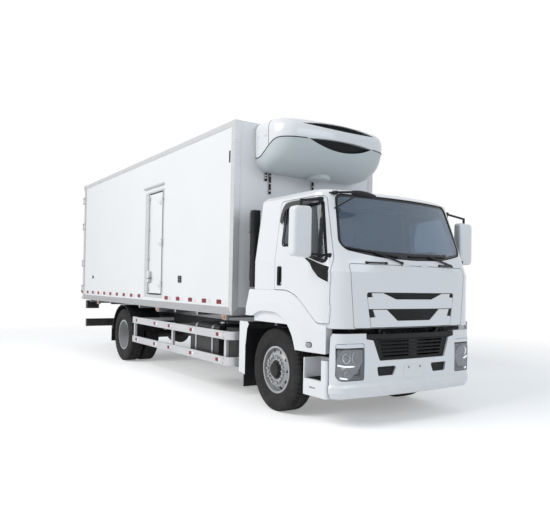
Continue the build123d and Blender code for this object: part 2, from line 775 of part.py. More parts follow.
# Cab shell, doors, lid and glass
# rows of place from the front axle, height and corner radius
flare_line = [(430, flare_high, 680), (910, flare_low, 150)]
door_outline = [(door_rear, flare_high + flare_gap, 20), (door_rear, door_top_z, 45),
                (door_top_front, door_top_z, 60), (door_front, belt_z, 150),
                (door_front, flare_low + flare_gap, 12)]
door_outline += [(place, z + flare_gap, radius) for place, z, radius in reversed(flare_line)]
window_top = brow_z - 105
window_low = belt_z + 188
window_outline = [(160, window_low, 45), (160, window_top, 40), (822, window_top, 45),
                  (1026, belt_z - 42, 30), (640, belt_z + 66, 140), (545, window_low - 6, 120)]
# rows of distance from the middle, height and corner radius
screen_outline = [(0, belt_z + 15), (520, belt_z + 30, 2500), (1040, belt_z + 120, 130),
                  (942, brow_z - 8, 100), (0, brow_z - 8)]
lid_low_z = cab_floor_z + 8
lid_outline = [(0, lid_low_z), (lid_half_bottom, lid_low_z, 30), (lid_half_top, lid_top_z, 40),
               (0, lid_top_z)]
lid_thickness = 26
lid_pocket = 34
screen_back = at(600)
screen_front = at(1500)
side_reach = 700  # side outlines cut in from outside to this distance from the middle


def door_prism(outline, mode):
    """A side outline carried right through the right-hand door."""
    side_sheet(outline, -side_reach, -cab_half - 200, mode=mode)


door_pin_x = at(door_front) + running_gap / 2
door_pin_y = cab_side_y(door_front) + running_gap / 2
door_hinges = [cab_floor_z + 210, cab_floor_z + 570]
door_barrel = 11
door_pin = 5
barrel_half = 28
ear_reach = 30
lid_pin_x = at(1264)
lid_pin_z = lid_top_z + running_gap / 2
lid_barrels = [(-180, -130), (130, 180)]


def door_barrels(hand):
    """Ends of the door hinges' barrels on one side."""
    y = hand * door_pin_y
    return [((door_pin_x, y, z - barrel_half), (door_pin_x, y, z + barrel_half)) for z in door_hinges]


def lid_hinges():
    """Ends of the lid hinges' barrels."""
    return [((lid_pin_x, low, lid_pin_z), (lid_pin_x, high, lid_pin_z)) for low, high in lid_barrels]


with BuildPart() as shell:
    add(cab_form(0))
    add(cab_form(cab_wall, cavity=True), mode=Mode.SUBTRACT)
    for hand in (-1, 1):
        side_sheet(door_outline, hand * side_reach, hand * (cab_half + 200), 0, running_gap, Mode.SUBTRACT)
    front_sheet(screen_outline, screen_back, screen_front, mode=Mode.SUBTRACT, half=True)
    with BuildPart(mode=Mode.PRIVATE) as pocket:
        front_sheet(lid_outline, screen_back, screen_front, grow=running_gap, half=True)
        add(cab_form(lid_pocket), mode=Mode.SUBTRACT)
    add(pocket.part, mode=Mode.SUBTRACT)
    for barrel in door_barrels(-1) + door_barrels(1) + lid_hinges():
        barrel_room(barrel, door_barrel + 1)
        hinge_post(barrel, door_barrel, door_pin, ear_reach)
    for side in (-1, 1):
        near, far = side * (rail_outer + 44), side * (rail_outer + 84)
        side_sheet([(tilt_hinge_x - 60, cab_floor_z), (tilt_hinge_x - 32, tilt_hinge_z - 32),
                    (tilt_hinge_x + 8, tilt_hinge_z - 32), (tilt_hinge_x + 8, cab_floor_z)], near, far)
        rod((at(tilt_hinge_x), side * (rail_outer + 2), tilt_hinge_z), (at(tilt_hinge_x), far, tilt_hinge_z),
            tilt_pin_radius)
finish(shell.part, "cab_shell")

glass_layer = cab_skin(glass_inset, glass_inset + glass_thickness)
with BuildPart() as windshield:
    front_sheet(screen_outline, screen_back, screen_front, half=True)
    add(glass_layer, mode=Mode.INTERSECT)
finish(windshield.part, "windshield")

handle_pocket = 15
with BuildPart() as door:
    door_prism(door_outline, Mode.ADD)
    add(cab_skin(0, cab_wall), mode=Mode.INTERSECT)
    door_prism(window_outline, Mode.SUBTRACT)
    side_sheet([(95, belt_z - 310), (95, belt_z - 75), (185, belt_z - 75), (185, belt_z - 310)],
               -cab_half - 200, -cab_half + handle_pocket, 20, mode=Mode.SUBTRACT)
    for barrel in door_barrels(-1):
        ear_room(barrel, door_barrel + 1, ear_reach + 1)
        hinge_leaf(barrel, door_barrel, door_pin)
finish(door.part, "cab_door_right")
finish(other_side(door.part), "cab_door_left")

with BuildPart() as door_glass:
    door_prism(window_outline, Mode.ADD)
    add(glass_layer, mode=Mode.INTERSECT)
finish(door_glass.part, "door_glass_right")
finish(other_side(door_glass.part), "door_glass_left")

# Lid with a dark plate let into it and two winged bars on the plate
plate_depth = 14
grille_top = cab_floor_z + 412
grille_half_top = 742
grille_half_low = 676
grille_outline = [(0, grille_top), (grille_half_top, grille_top, 30), (grille_half_low, lid_low_z),
                  (0, lid_low_z)]
# rows of distance from the middle, height over the cab's floor and corner radius
upper_bar = [(0, 333), (300, 333, 12), (500, 404, 12), (664, 404, 6), (650, 359), (726, 354, 6),
             (706, 222, 4), (0, 222)]
lower_bar = [(0, 83), (275, 83, 12), (445, 214, 10), (645, 214, 6), (606, 130), (688, 123, 6),
             (669, 12, 4), (0, 12)]
with BuildPart() as lid:
    front_sheet(lid_outline, screen_back, screen_front, half=True)
    add(cab_skin(0, lid_thickness), mode=Mode.INTERSECT)
    front_sheet(grille_outline, screen_back, screen_front, mode=Mode.SUBTRACT, half=True)
    for barrel in lid_hinges():
        ear_room(barrel, door_barrel + 1, ear_reach + 1)
        hinge_leaf(barrel, door_barrel, door_pin)
finish(lid.part, "front_lid")

with BuildPart() as lid_grille:
    front_sheet(grille_outline, screen_back, screen_front, half=True)
    add(cab_skin(plate_depth, lid_thickness), mode=Mode.INTERSECT)
finish(lid_grille.part, "lid_grille")

with BuildPart() as grille_bars:
    for bar in (upper_bar, lower_bar):
        front_sheet(raised(bar, cab_floor_z), screen_back, screen_front, half=True)
    add(cab_skin(0, plate_depth), mode=Mode.INTERSECT)
finish(grille_bars.part, "grille_bars")

# Wheel-arch flares, sloped from the door skin out to a crease, with the sills under the doors
arch_foot = cab_floor_z + 65
arch_inner_z = cab_floor_z + 142
arch_edge = [(560, sill_z), (400, arch_inner_z, 540), (-235, arch_inner_z, 500), (-432, arch_foot),
             (-arch_rear, arch_foot)]
arch_root = [(-arch_rear, flare_high + 7, 40)] + flare_line
arch_root += [(arch_front, flare_low - 8), (arch_front, sill_z)]
arch_crease = [(-arch_rear, arch_foot + 133, 40), (262, arch_foot + 200, 420), (649, cab_floor_z, 390),
               (754, sill_z + 15), (758, sill_z)]
with BuildPart() as arch:
    root = side_face(arch_edge + arch_root, -cab_half)
    crease = side_face(arch_edge + arch_crease, -cab_half - arch_stand)
    loft([root, crease], ruled=True)
    side_sheet([(560, sill_z), (453, cab_floor_z), (arch_front - 45, cab_floor_z), (arch_front - 45, sill_z)],
               -cab_half + 120, -cab_half)
finish(both_sides(arch.part), "wheel_arches")

# Mirrors on the doors
mirror_x = 850
mirror_depth = 110
mirror_outline = [(-1530, 25, 60), (-1525, 590, 60), (-1275, 600, 45), (-1270, 10, 45)]
mirror_round = 34
with BuildPart() as side_mirror:
    front_sheet(raised(mirror_outline, belt_z), at(mirror_x - mirror_depth / 2),
                at(mirror_x + mirror_depth / 2))
    fillet(side_mirror.faces().sort_by(Axis.X)[-1].edges(), mirror_round)
    rod((at(mirror_x), -1400, belt_z + 540), (at(mirror_x), -1400, belt_z + 670), 16)
    rod((at(mirror_x), -1400, belt_z + 660), (at(810), -1040, door_top_z - 33), 14)
    rod((at(mirror_x), -1290, belt_z + 60), (at(1035), -1090, belt_z + 35), 14)
    add(cab_form(0), mode=Mode.SUBTRACT)
finish(side_mirror.part, "mirror_right")
finish(other_side(side_mirror.part), "mirror_left")

# Dashboard and seats
cab_deck = cab_floor_z + cab_wall
dash_profile = [(760, 115, 20), (640, 315, 40), (640, 555, 50), (770, 670, 60), (1050, 655), (1050, 115)]
dash_half = 950
console_half = 280
with BuildPart() as dashboard:
    side_sheet(raised(dash_profile, cab_deck), -dash_half, dash_half)
    block(at(700), at(1050), -console_half, console_half, cab_deck, cab_deck + 215)
finish(dashboard.part, "cab_interior")

seat_y = 560
seat_half = 250
# rows of place from the front axle, height over the cab's deck and corner radius
cushion_profile = [(-340, 165, 20), (-340, 335, 30), (130, 350, 60), (185, 305, 40), (185, 165, 30)]
back_profile = [(-425, 305, 20), (-425, 995, 35), (-335, 995, 40), (-225, 375, 90), (-225, 305, 20)]
head_profile = [(-420, 980, 20), (-415, 1195, 35), (-345, 1195, 35), (-335, 980, 20)]
with BuildPart() as seat:
    side_sheet(raised(cushion_profile, cab_deck), -seat_y - seat_half, -seat_y + seat_half)
    side_sheet(raised(back_profile, cab_deck), -seat_y - seat_half + 10, -seat_y + seat_half - 10)
    side_sheet(raised(head_profile, cab_deck), -seat_y - 130, -seat_y + 130)
    block(at(-300), at(140), -seat_y - 200, -seat_y + 200, cab_deck, cab_deck + 165)
finish(both_sides(seat.part), "cab_seats")

with BuildPart() as steering:
    wheel_seat = Plane(origin=(at(560), seat_y, cab_deck + 615), z_dir=(-0.55, 0, 0.835))
    with Locations(wheel_seat):
        Torus(215, 15)
        Cylinder(55, 40)
        for turn in (0, 120, 240):
            with Locations(Rotation(0, 0, turn)):
                with Locations((110, 0, 0)):
                    Box(190, 36, 12)
    rod((at(560), seat_y, cab_deck + 615), (at(690), seat_y, cab_deck + 417), 30)
    add(dashboard.part, mode=Mode.SUBTRACT)
finish(steering.part, "steering_wheel")

# Wipers on the windshield and the front mirror
# pivot, arm's outer end and the blade's two ends, each as (Y, Z)
wiper_z = belt_z - 20
wiper_set = [
    ((-220, wiper_z), (-600, wiper_z + 116), (-250, wiper_z + 73), (-950, wiper_z + 158)),
    ((690, wiper_z), (270, wiper_z + 96), (620, wiper_z + 106), (-80, wiper_z + 86)),
]


def strip(start, end, width):
    """A slanted strip in front view between two points."""
    lean = atan2(end[1] - start[1], end[0] - start[0])
    aside = (-sin(lean) * width / 2, cos(lean) * width / 2)
    return [(start[0] + aside[0], start[1] + aside[1]), (end[0] + aside[0], end[1] + aside[1]),
            (end[0] - aside[0], end[1] - aside[1]), (start[0] - aside[0], start[1] - aside[1])]


blade_lift = 12
arm_lift = 20
with BuildPart() as wiper_blades:
    for pivot, arm_end, tip, heel in wiper_set:
        front_sheet(strip(tip, heel, 16), screen_back, screen_front)
    add(cab_skin(-blade_lift, glass_inset), mode=Mode.INTERSECT)
with BuildPart() as wipers:
    for pivot, arm_end, tip, heel in wiper_set:
        front_sheet(strip(pivot, arm_end, 20), screen_back, screen_front)
    add(cab_skin(-arm_lift, -blade_lift + 4), mode=Mode.INTERSECT)
    with BuildPart(mode=Mode.PRIVATE) as pivots:
        for pivot, arm_end, tip, heel in wiper_set:
            rod((screen_back, pivot[0], pivot[1]), (screen_front, pivot[0], pivot[1]), 17)
        add(cab_skin(-arm_lift, 0), mode=Mode.INTERSECT)
    add(pivots.part)
    add(wiper_blades.part)
finish(wipers.part, "wipers")

with BuildPart() as front_mirror:
    block(at(1170), at(1260), -970, -610, brow_z - 80, brow_z - 10)
    fillet(front_mirror.edges().filter_by(Axis.Y), 24)
    rod((at(1215), -800, brow_z - 28), (at(800), -1010, brow_z - 8), 14)
    rod((at(1205), -840, brow_z - 45), (at(880), -1000, brow_z - 220), 9)
    add(cab_form(0), mode=Mode.SUBTRACT)
finish(front_mirror.part, "front_mirror")

# Insulated box
inner_half = skin_half - wall_thickness
roof_low = box_top - roof_thickness
floor_top = box_bottom + floor_thickness
frame_face_x = box_rear_x + rear_door_thickness + rear_door_seal
wall_rear_x = frame_face_x + rear_frame_depth
wall_inner_front = box_front_x - wall_thickness
bearer_height = 55
wheel_room = 850  # half length of the space over the rear wheels, left free of bearers
# first and last place and count of the bearers ahead of the rear wheels and behind them
bearer_bays = [
    (box_front_x - 400, rear_axle_x + wheel_room, 5),
    (rear_axle_x - wheel_room, wall_rear_x + 250, 3),
]
bearer_places = [first + (last - first) * n / (count - 1)
                 for first, last, count in bearer_bays for n in range(count)]
with BuildPart() as floor:
    block(wall_rear_x, wall_inner_front, -inner_half, inner_half, box_bottom, floor_top)
    for side in (-1, 1):
        block(wall_rear_x + 60, wall_inner_front - 60, side * lip_inner, side * rail_outer, frame_top,
              box_bottom)
    for x in bearer_places:
        block(x - 25, x + 25, -inner_half, inner_half, box_bottom - bearer_height, box_bottom)
finish(floor.part, "box_floor")

door_x1 = at(-side_door_front)
door_x0 = door_x1 - side_door_width
door_z1 = side_door_high
with BuildPart() as right_wall:
    block(wall_rear_x, box_front_x, -skin_half, -inner_half, box_bottom, roof_low)
    block(door_x0 - side_door_gap, door_x1 + side_door_gap, -box_half, -inner_half + 10,
          side_door_low - side_door_gap, door_z1 + side_door_gap, Mode.SUBTRACT)
finish(right_wall.part, "box_wall_right")
with BuildPart() as left_wall:
    block(wall_rear_x, box_front_x, inner_half, skin_half, box_bottom, roof_low)
finish(left_wall.part, "box_wall_left")
with BuildPart() as front_wall:
    block(wall_inner_front, box_front_x, -inner_half, inner_half, box_bottom, roof_low)
finish(front_wall.part, "box_front_wall")
with BuildPart() as roof:
    block(wall_rear_x, box_front_x, -skin_half, skin_half, roof_low, box_top - trim_thickness)
finish(roof.part, "box_roof")

# Rear portal and the outer trim of the box
sill_top = box_bottom + 62
header_low = box_top - 82
rear_gap = 16
rear_edge = box_half - 5
rear_low = sill_top + 8
rear_high = header_low - 8
rear_pin_x = box_rear_x - 25
rear_pin_y = -box_half
rear_hinges = [rear_low + 190, rear_low + 790, rear_high - 890, rear_high - 270]
hinge_ear = 26
rear_barrel_half = 50


def rear_barrel(hand, z):
    """Ends of one rear door hinge's barrel."""
    y = hand * -rear_pin_y
    return ((rear_pin_x, y, z - rear_barrel_half), (rear_pin_x, y, z + rear_barrel_half))


lintel_low = roof_low - 30
post_inner = inner_half - 30
with BuildPart() as portal:
    block(frame_face_x, wall_rear_x, -box_half, box_half, box_bottom, floor_top)
    block(box_rear_x, frame_face_x, -box_half, box_half, box_bottom, sill_top)
    block(frame_face_x, wall_rear_x, -box_half, box_half, lintel_low, box_top)
    block(box_rear_x, frame_face_x, -box_half, box_half, header_low, box_top)
    for hand in (-1, 1):
        block(frame_face_x, wall_rear_x, hand * post_inner, hand * box_half, floor_top + bolted_gap,
              lintel_low - bolted_gap)
        for z in rear_hinges:
            barrel = rear_barrel(hand, z)
            hinge_post(barrel, hinge_radius, hinge_pin, hinge_ear)
            for low in (barrel[0][2] - hinge_ear, barrel[1][2] + pin_clearance):
                block(rear_pin_x - 4, frame_face_x + 60, hand * (box_half - 4), hand * (box_half + 12), low,
                      low + hinge_ear - pin_clearance)
            block(rear_pin_x - 20, frame_face_x - 2, hand * (box_half - 6), hand * (box_half - 30),
                  barrel[0][2] - hinge_ear, barrel[1][2] + hinge_ear, Mode.SUBTRACT)
finish(portal.part, "rear_portal")

with BuildPart() as trim:
    front_face = box_front_x + trim_thickness
    rail_top = box_bottom + base_rail_height
    cap_low = box_top - trim_thickness
    for side in (-1, 1):
        skin, face = side * skin_half, side * box_half
        block(wall_rear_x, front_face, skin, face, box_bottom, rail_top)
        block(wall_rear_x, front_face, skin, face, box_top - cap_width, box_top)
        block(wall_rear_x, front_face, face - side * cap_width, face, cap_low, box_top)
        block(box_front_x - post_width, front_face, skin, face, box_bottom, box_top)
        block(box_front_x, front_face, face - side * post_width, face, box_bottom, box_top)
    block(box_front_x, front_face, -box_half, box_half, box_bottom, rail_top)
    block(wall_rear_x, wall_rear_x + cap_width, -box_half, box_half, cap_low, box_top)
    block(box_front_x - cap_width, box_front_x, -box_half, box_half, cap_low, box_top)
finish(trim.part, "box_trim")

# Side door of the box, its frame and canopy
side_pin_x = door_x1 + side_door_gap / 2
side_pin_y = -box_half - hinge_stand
hinge_heights = [side_door_low + 165, (side_door_low + door_z1) / 2 - 5, door_z1 - 180]
side_barrel_half = 45


def side_barrel(z):
    """Ends of one side door hinge's barrel."""
    return ((side_pin_x, side_pin_y, z - side_barrel_half), (side_pin_x, side_pin_y, z + side_barrel_half))


with BuildPart() as door_frame:
    block(door_x0 - 165, door_x1 + 40, -box_half - 2, -skin_half, side_door_low - 59, door_z1 + 45)
    block(door_x0 - side_door_gap, door_x1 + side_door_gap, -box_half - 10, -skin_half + 10,
          side_door_low - side_door_gap, door_z1 + side_door_gap, Mode.SUBTRACT)
    block(door_x0 - 230, door_x1 + 40, -box_half - 26, -skin_half, door_z1 + 110, door_z1 + 140)
    for z in hinge_heights:
        barrel = side_barrel(z)
        hinge_post(barrel, hinge_radius, hinge_pin, hinge_ear)
        for low in (barrel[0][2] - hinge_ear, barrel[1][2] + pin_clearance):
            block(side_pin_x, door_x1 + 40, side_pin_y - 6, -box_half, low, low + hinge_ear - pin_clearance)
finish(door_frame.part, "side_door_frame")

with BuildPart() as side_door:
    block(door_x0, door_x1, -box_half, -inner_half, side_door_low, door_z1)
    for z in hinge_heights:
        block(side_pin_x - 150, side_pin_x - 4, side_pin_y - 6, side_pin_y + 6, z - 30, z + 30)
        block(side_pin_x - 150, side_pin_x - 60, side_pin_y + 6, -box_half, z - 30, z + 30)
    for z in hinge_heights:
        hinge_leaf(side_barrel(z), hinge_radius, hinge_pin)
    block(door_x0 + 80, door_x0 + 125, -box_half - 40, -box_half, side_door_low + 210, side_door_low + 410)
finish(side_door.part, "side_door")

# Rear doors with hinges and lock bars
bar_places = [-330, -960]
with BuildPart() as rear_door:
    block(box_rear_x, box_rear_x + rear_door_thickness, -rear_edge, -rear_gap / 2, rear_low, rear_high)
    for z in rear_hinges:
        block(rear_pin_x - 6, rear_pin_x + 6, rear_pin_y + 4, rear_pin_y + 260, z - 35, z + 35)
        block(rear_pin_x + 6, box_rear_x, rear_pin_y + 60, rear_pin_y + 260, z - 35, z + 35)
    for y in bar_places:
        rod((box_rear_x - 38, y, rear_low + 20), (box_rear_x - 38, y, rear_high - 20), 16)
        for z in (rear_low + 120, rear_low + 670, rear_high - 1290, rear_high - 120):
            block(box_rear_x - 38, box_rear_x, y - 40, y + 40, z - 30, z + 30)
        block(box_rear_x - rear_hardware, box_rear_x - 38, y - 14, y + 260, rear_low + 460, rear_low + 495)
    for z in rear_hinges:
        hinge_leaf(rear_barrel(-1, z), hinge_radius, hinge_pin)
finish(rear_door.part, "rear_door_right")
finish(other_side(rear_door.part), "rear_door_left")

# Refrigeration unit
unit_back = box_front_x
unit_bow = 2600
unit_room = 1200
# height, depth from the wall, half width and corner radius
unit_levels = [
    (unit_low, 300, 770, 180),
    (unit_low + 45, 500, 880, 230),
    (unit_low + 130, 655, unit_half - 28, 275),
    (unit_low + 260, 765, unit_half - 5, 300),
    (unit_low + 420, unit_depth, unit_half, 320),
    (unit_low + 570, unit_depth - 12, unit_half - 3, 320),
    (unit_high - 35, unit_depth - 62, unit_half - 28, 300),
    (unit_high, unit_depth - 150, unit_half - 90, 260),
]
seam_back = unit_low + 184
seam_front = unit_low + 395
seam_start = 140
seam_end = 520
seam_round = 300
over_seam = [(-box_setback - 400, seam_back), (-box_setback + seam_start, seam_back, seam_round),
             (-box_setback + seam_end, seam_front, seam_round), (500, seam_front), (500, unit_high + 300),
             (-box_setback - 400, unit_high + 300)]
# half width, height of the tips, top and bottom of each lens-shaped opening
lens_set = [
    (650, unit_low + 595, unit_low + 640, unit_low + 552),
    (563, unit_low + 394, unit_low + 412, unit_low + 268),
]
lens_depth = 70
lens_plate = 20
lens_level = 3


def unit_form(inset, first=0):
    """The unit's form from one of its levels up, drawn in from its front and sides."""
    with BuildPart() as made:
        loft([plan_section(Plane.XY.offset(z), unit_back + depth - inset, half - inset / 3, corner, unit_bow,
                           unit_back, 4) for z, depth, half, corner in unit_levels[first:]])
    return made.part


with BuildPart() as lens_pockets:
    for tip, tip_z, top, low in lens_set:
        with BuildSketch(Plane.YZ.offset(unit_back + unit_depth - 300)) as lens:
            with BuildLine():
                ThreePointArc((-tip, tip_z), (0, top), (tip, tip_z))
                ThreePointArc((-tip, tip_z), (0, low), (tip, tip_z))
            make_face()
        extrude(lens.sketch, amount=400)
    add(unit_form(lens_depth, lens_level), mode=Mode.SUBTRACT)
with BuildPart() as unit_cover:
    add(unit_form(0))
    side_sheet(over_seam, -unit_room, unit_room, mode=Mode.INTERSECT)
    add(lens_pockets.part, mode=Mode.SUBTRACT)
finish(unit_cover.part, "unit_cover")
sump_radius = 170
sump_drop = 55
with BuildPart() as unit_belly:
    rod((unit_back + 240, 0, unit_low - sump_drop), (unit_back + 240, 0, unit_low + 60), sump_radius)
    fillet(unit_belly.edges().group_by(Axis.Z)[0], 40)
    add(unit_form(0))
    side_sheet(over_seam, -unit_room, unit_room, mode=Mode.SUBTRACT)
    add(lens_pockets.part, mode=Mode.SUBTRACT)
finish(unit_belly.part, "unit_belly")
with BuildPart() as unit_grilles:
    add(unit_form(lens_depth - lens_plate, lens_level))
    add(lens_pockets.part, mode=Mode.INTERSECT)
finish(unit_grilles.part, "unit_grilles")

with BuildPart() as unit_pipes:
    for y, drop in ((-780, 100), (-710, 280), (60, 210)):
        rod((box_front_x + 20, y, unit_low - drop), (box_front_x + 20, y, unit_low + 30), 16)
    add(unit_belly.part, mode=Mode.SUBTRACT)
finish(unit_pipes.part, "unit_pipes")

# Air intake behind the cab
intake_low = cab_floor_z + 535
with BuildPart() as air_intake:
    block(at(-cab_back - 160), at(-cab_back - 45), -1165, -1050, intake_low, brow_z - 90)
    fillet(air_intake.edges().filter_by(Axis.Z), 30)
    block(at(-cab_back - 150), at(-cab_back - 60), -1150, -500, intake_low - 95, intake_low)
    block(at(-cab_back - 150), at(-cab_back - 60), -500, -rail_outer, frame_top - 85, intake_low)
finish(air_intake.part, "air_intake")

os.makedirs("parts", exist_ok=True)
for piece in pieces:
    export_step(piece, f"parts/{piece.label}.step")
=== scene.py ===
import bpy
import bmesh
import json
from math import atan2, cos, exp, hypot, pi, radians, sin, tan, tau
from mathutils import Matrix, Vector
from mathutils.bvhtree import BVHTree


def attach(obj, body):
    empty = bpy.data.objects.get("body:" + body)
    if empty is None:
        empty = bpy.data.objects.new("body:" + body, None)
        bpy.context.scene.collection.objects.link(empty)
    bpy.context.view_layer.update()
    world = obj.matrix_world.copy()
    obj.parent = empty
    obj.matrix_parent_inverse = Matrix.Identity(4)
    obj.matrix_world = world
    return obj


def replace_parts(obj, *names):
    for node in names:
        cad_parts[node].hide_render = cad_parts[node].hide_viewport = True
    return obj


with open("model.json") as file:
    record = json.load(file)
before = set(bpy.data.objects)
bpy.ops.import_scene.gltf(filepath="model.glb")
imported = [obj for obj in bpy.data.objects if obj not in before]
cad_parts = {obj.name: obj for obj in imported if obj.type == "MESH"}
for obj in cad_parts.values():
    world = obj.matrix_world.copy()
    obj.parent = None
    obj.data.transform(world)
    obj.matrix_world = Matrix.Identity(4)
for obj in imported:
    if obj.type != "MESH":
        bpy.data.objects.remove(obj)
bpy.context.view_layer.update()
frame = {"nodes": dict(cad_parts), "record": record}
nodes = frame["nodes"]
scene = bpy.context.scene
scene.view_settings.view_transform = "Standard"

# Driving places, in metres, as in the part's source
AXLE_X = 3.51
REAR_AXLE_X = AXLE_X - 5.47
BOX_FRONT = AXLE_X - 0.89
BOX_REAR = BOX_FRONT - 7.35
BOX_LOW, BOX_TOP = 1.16, 3.88
BOX_HALF = 1.29
TYRE_R = 0.522
DECK = 1.185
BELT = 1.90
BROW = 2.69
UNIT_LOW = 3.19


def at(station):
    """Where a place given from the front axle lies along X."""
    return AXLE_X + station


# Materials
def new_material(name):
    mat = bpy.data.materials.new(name)
    mat.use_nodes = True
    tree = mat.node_tree
    return mat, tree, tree.nodes["Principled BSDF"]


def link(tree, out, socket):
    tree.links.new(out, socket)


def noise(tree, scale, detail=3.0, rough=0.5, stretch=None):
    """Noise in object metres, so its scale is real."""
    coord = tree.nodes.new("ShaderNodeTexCoord")
    tex = tree.nodes.new("ShaderNodeTexNoise")
    tex.inputs["Scale"].default_value = scale
    tex.inputs["Detail"].default_value = detail
    tex.inputs["Roughness"].default_value = rough
    source = coord.outputs["Object"]
    if stretch:
        mapping = tree.nodes.new("ShaderNodeMapping")
        mapping.inputs["Scale"].default_value = stretch
        link(tree, source, mapping.inputs["Vector"])
        source = mapping.outputs["Vector"]
    link(tree, source, tex.inputs["Vector"])
    return tex.outputs["Fac"]


def wave(tree, scale, direction):
    coord = tree.nodes.new("ShaderNodeTexCoord")
    tex = tree.nodes.new("ShaderNodeTexWave")
    tex.wave_type = "BANDS"
    tex.bands_direction = direction
    tex.inputs["Scale"].default_value = scale
    link(tree, coord.outputs["Object"], tex.inputs["Vector"])
    return tex.outputs["Fac"]


def ramp(tree, value, low, high, out_low, out_high):
    node = tree.nodes.new("ShaderNodeMapRange")
    node.inputs["From Min"].default_value = low
    node.inputs["From Max"].default_value = high
    node.inputs["To Min"].default_value = out_low
    node.inputs["To Max"].default_value = out_high
    link(tree, value, node.inputs["Value"])
    return node.outputs["Result"]


def mix(tree, factor, first, second):
    node = tree.nodes.new("ShaderNodeMix")
    node.data_type = "RGBA"
    link(tree, factor, node.inputs["Factor"])
    for socket, value in ((node.inputs["A"], first), (node.inputs["B"], second)):
        if isinstance(value, tuple):
            socket.default_value = (*value, 1)
        else:
            link(tree, value, socket)
    return node.outputs["Result"]


def height(tree):
    coord = tree.nodes.new("ShaderNodeTexCoord")
    split = tree.nodes.new("ShaderNodeSeparateXYZ")
    link(tree, coord.outputs["Object"], split.inputs["Vector"])
    return split.outputs["Z"]


def combine(tree, first, second, operation="MULTIPLY"):
    node = tree.nodes.new("ShaderNodeMath")
    node.operation = operation
    link(tree, first, node.inputs[0])
    link(tree, second, node.inputs[1])
    return node.outputs["Value"]


def bump(tree, shader, value, strength, distance, edge=0.0):
    """Fine relief, over edges softened by a small radius."""
    node = tree.nodes.new("ShaderNodeBump")
    node.inputs["Strength"].default_value = strength
    node.inputs["Distance"].default_value = distance
    link(tree, value, node.inputs["Height"])
    if edge:
        soft = tree.nodes.new("ShaderNodeBevel")
        soft.samples = 4
        soft.inputs["Radius"].default_value = edge
        link(tree, soft.outputs["Normal"], node.inputs["Normal"])
    link(tree, node.outputs["Normal"], shader.inputs["Normal"])


def dusted(tree, base, dust, top, most):
    """Road dust that thins out upward."""
    fade = ramp(tree, height(tree), 0.2, top, most, 0)
    patch = ramp(tree, noise(tree, 9, 5, 0.65), 0.35, 0.75, 0.1, 1)
    return mix(tree, combine(tree, fade, patch), base, dust)


def paint(name, colour, roughness=0.25, coat=0.5, dust=(0.45, 0.43, 0.40), top=0.9, most=0.16, edge=0.005):
    """Body paint: a faint drift in tone, orange peel and road dust low down."""
    mat, tree, shader = new_material(name)
    shade = tuple(c * 0.975 for c in colour)
    base = mix(tree, ramp(tree, noise(tree, 0.9, 2), 0.3, 0.7, 0, 1), colour, shade)
    link(tree, dusted(tree, base, dust, top, most), shader.inputs["Base Color"])
    grain = noise(tree, 5, 4)
    link(tree, ramp(tree, grain, 0.3, 0.7, roughness * 0.96, roughness * 1.05), shader.inputs["Roughness"])
    shader.inputs["Coat Weight"].default_value = coat
    shader.inputs["Coat Roughness"].default_value = 0.05
    bump(tree, shader, noise(tree, 190, 2), 0.006, 0.002, edge)
    return mat


def metal(name, colour, roughness, grain=(2, 140, 140), depth=0.06, metallic=1.0, most=0.0):
    """Bare metal with a drawn grain."""
    mat, tree, shader = new_material(name)
    streak = noise(tree, 1.0, 4, 0.6, grain)
    dark = tuple(c * 0.84 for c in colour)
    base = mix(tree, ramp(tree, streak, 0.3, 0.7, 0, 1), colour, dark)
    if most:
        base = dusted(tree, base, (0.2, 0.19, 0.18), 1.2, most)
    link(tree, base, shader.inputs["Base Color"])
    link(tree, ramp(tree, streak, 0.3, 0.7, roughness * 0.8, roughness * 1.3), shader.inputs["Roughness"])
    shader.inputs["Metallic"].default_value = metallic
    bump(tree, shader, streak, depth, 0.002, 0.003)
    return mat


def plastic(name, colour, roughness=0.45, grain=420, depth=0.12, dust=(0.14, 0.13, 0.12), most=0.18, top=0.9,
            gloss=0.22):
    """Moulded plastic or rubber with a fine grain and a little road dust low down."""
    mat, tree, shader = new_material(name)
    pale = tuple(min(1, c * 1.25 + 0.002) for c in colour)
    base = mix(tree, ramp(tree, noise(tree, 7, 4), 0.35, 0.7, 0, 1), colour, pale)
    link(tree, dusted(tree, base, dust, top, most) if most else base, shader.inputs["Base Color"])
    spread = noise(tree, 14, 3)
    link(tree, ramp(tree, spread, 0.3, 0.7, roughness * 0.85, roughness * 1.2), shader.inputs["Roughness"])
    shader.inputs["Specular IOR Level"].default_value = gloss
    bump(tree, shader, noise(tree, grain, 2), depth, 0.001, 0.003)
    return mat


def glass(name, colour, through=1.0, roughness=0.01, ribs=0, alpha=1.0):
    """Tinted glass or a lens, with moulded ribs where it is a lens."""
    mat, tree, shader = new_material(name)
    tint = tuple(c * 0.93 for c in colour)
    link(tree, mix(tree, noise(tree, 2.5, 2), colour, tint), shader.inputs["Base Color"])
    shader.inputs["Roughness"].default_value = roughness
    shader.inputs["Transmission Weight"].default_value = through
    shader.inputs["IOR"].default_value = 1.45
    shader.inputs["Alpha"].default_value = alpha
    if ribs:
        bump(tree, shader, wave(tree, ribs, "Z"), 0.35, 0.002)
    return mat


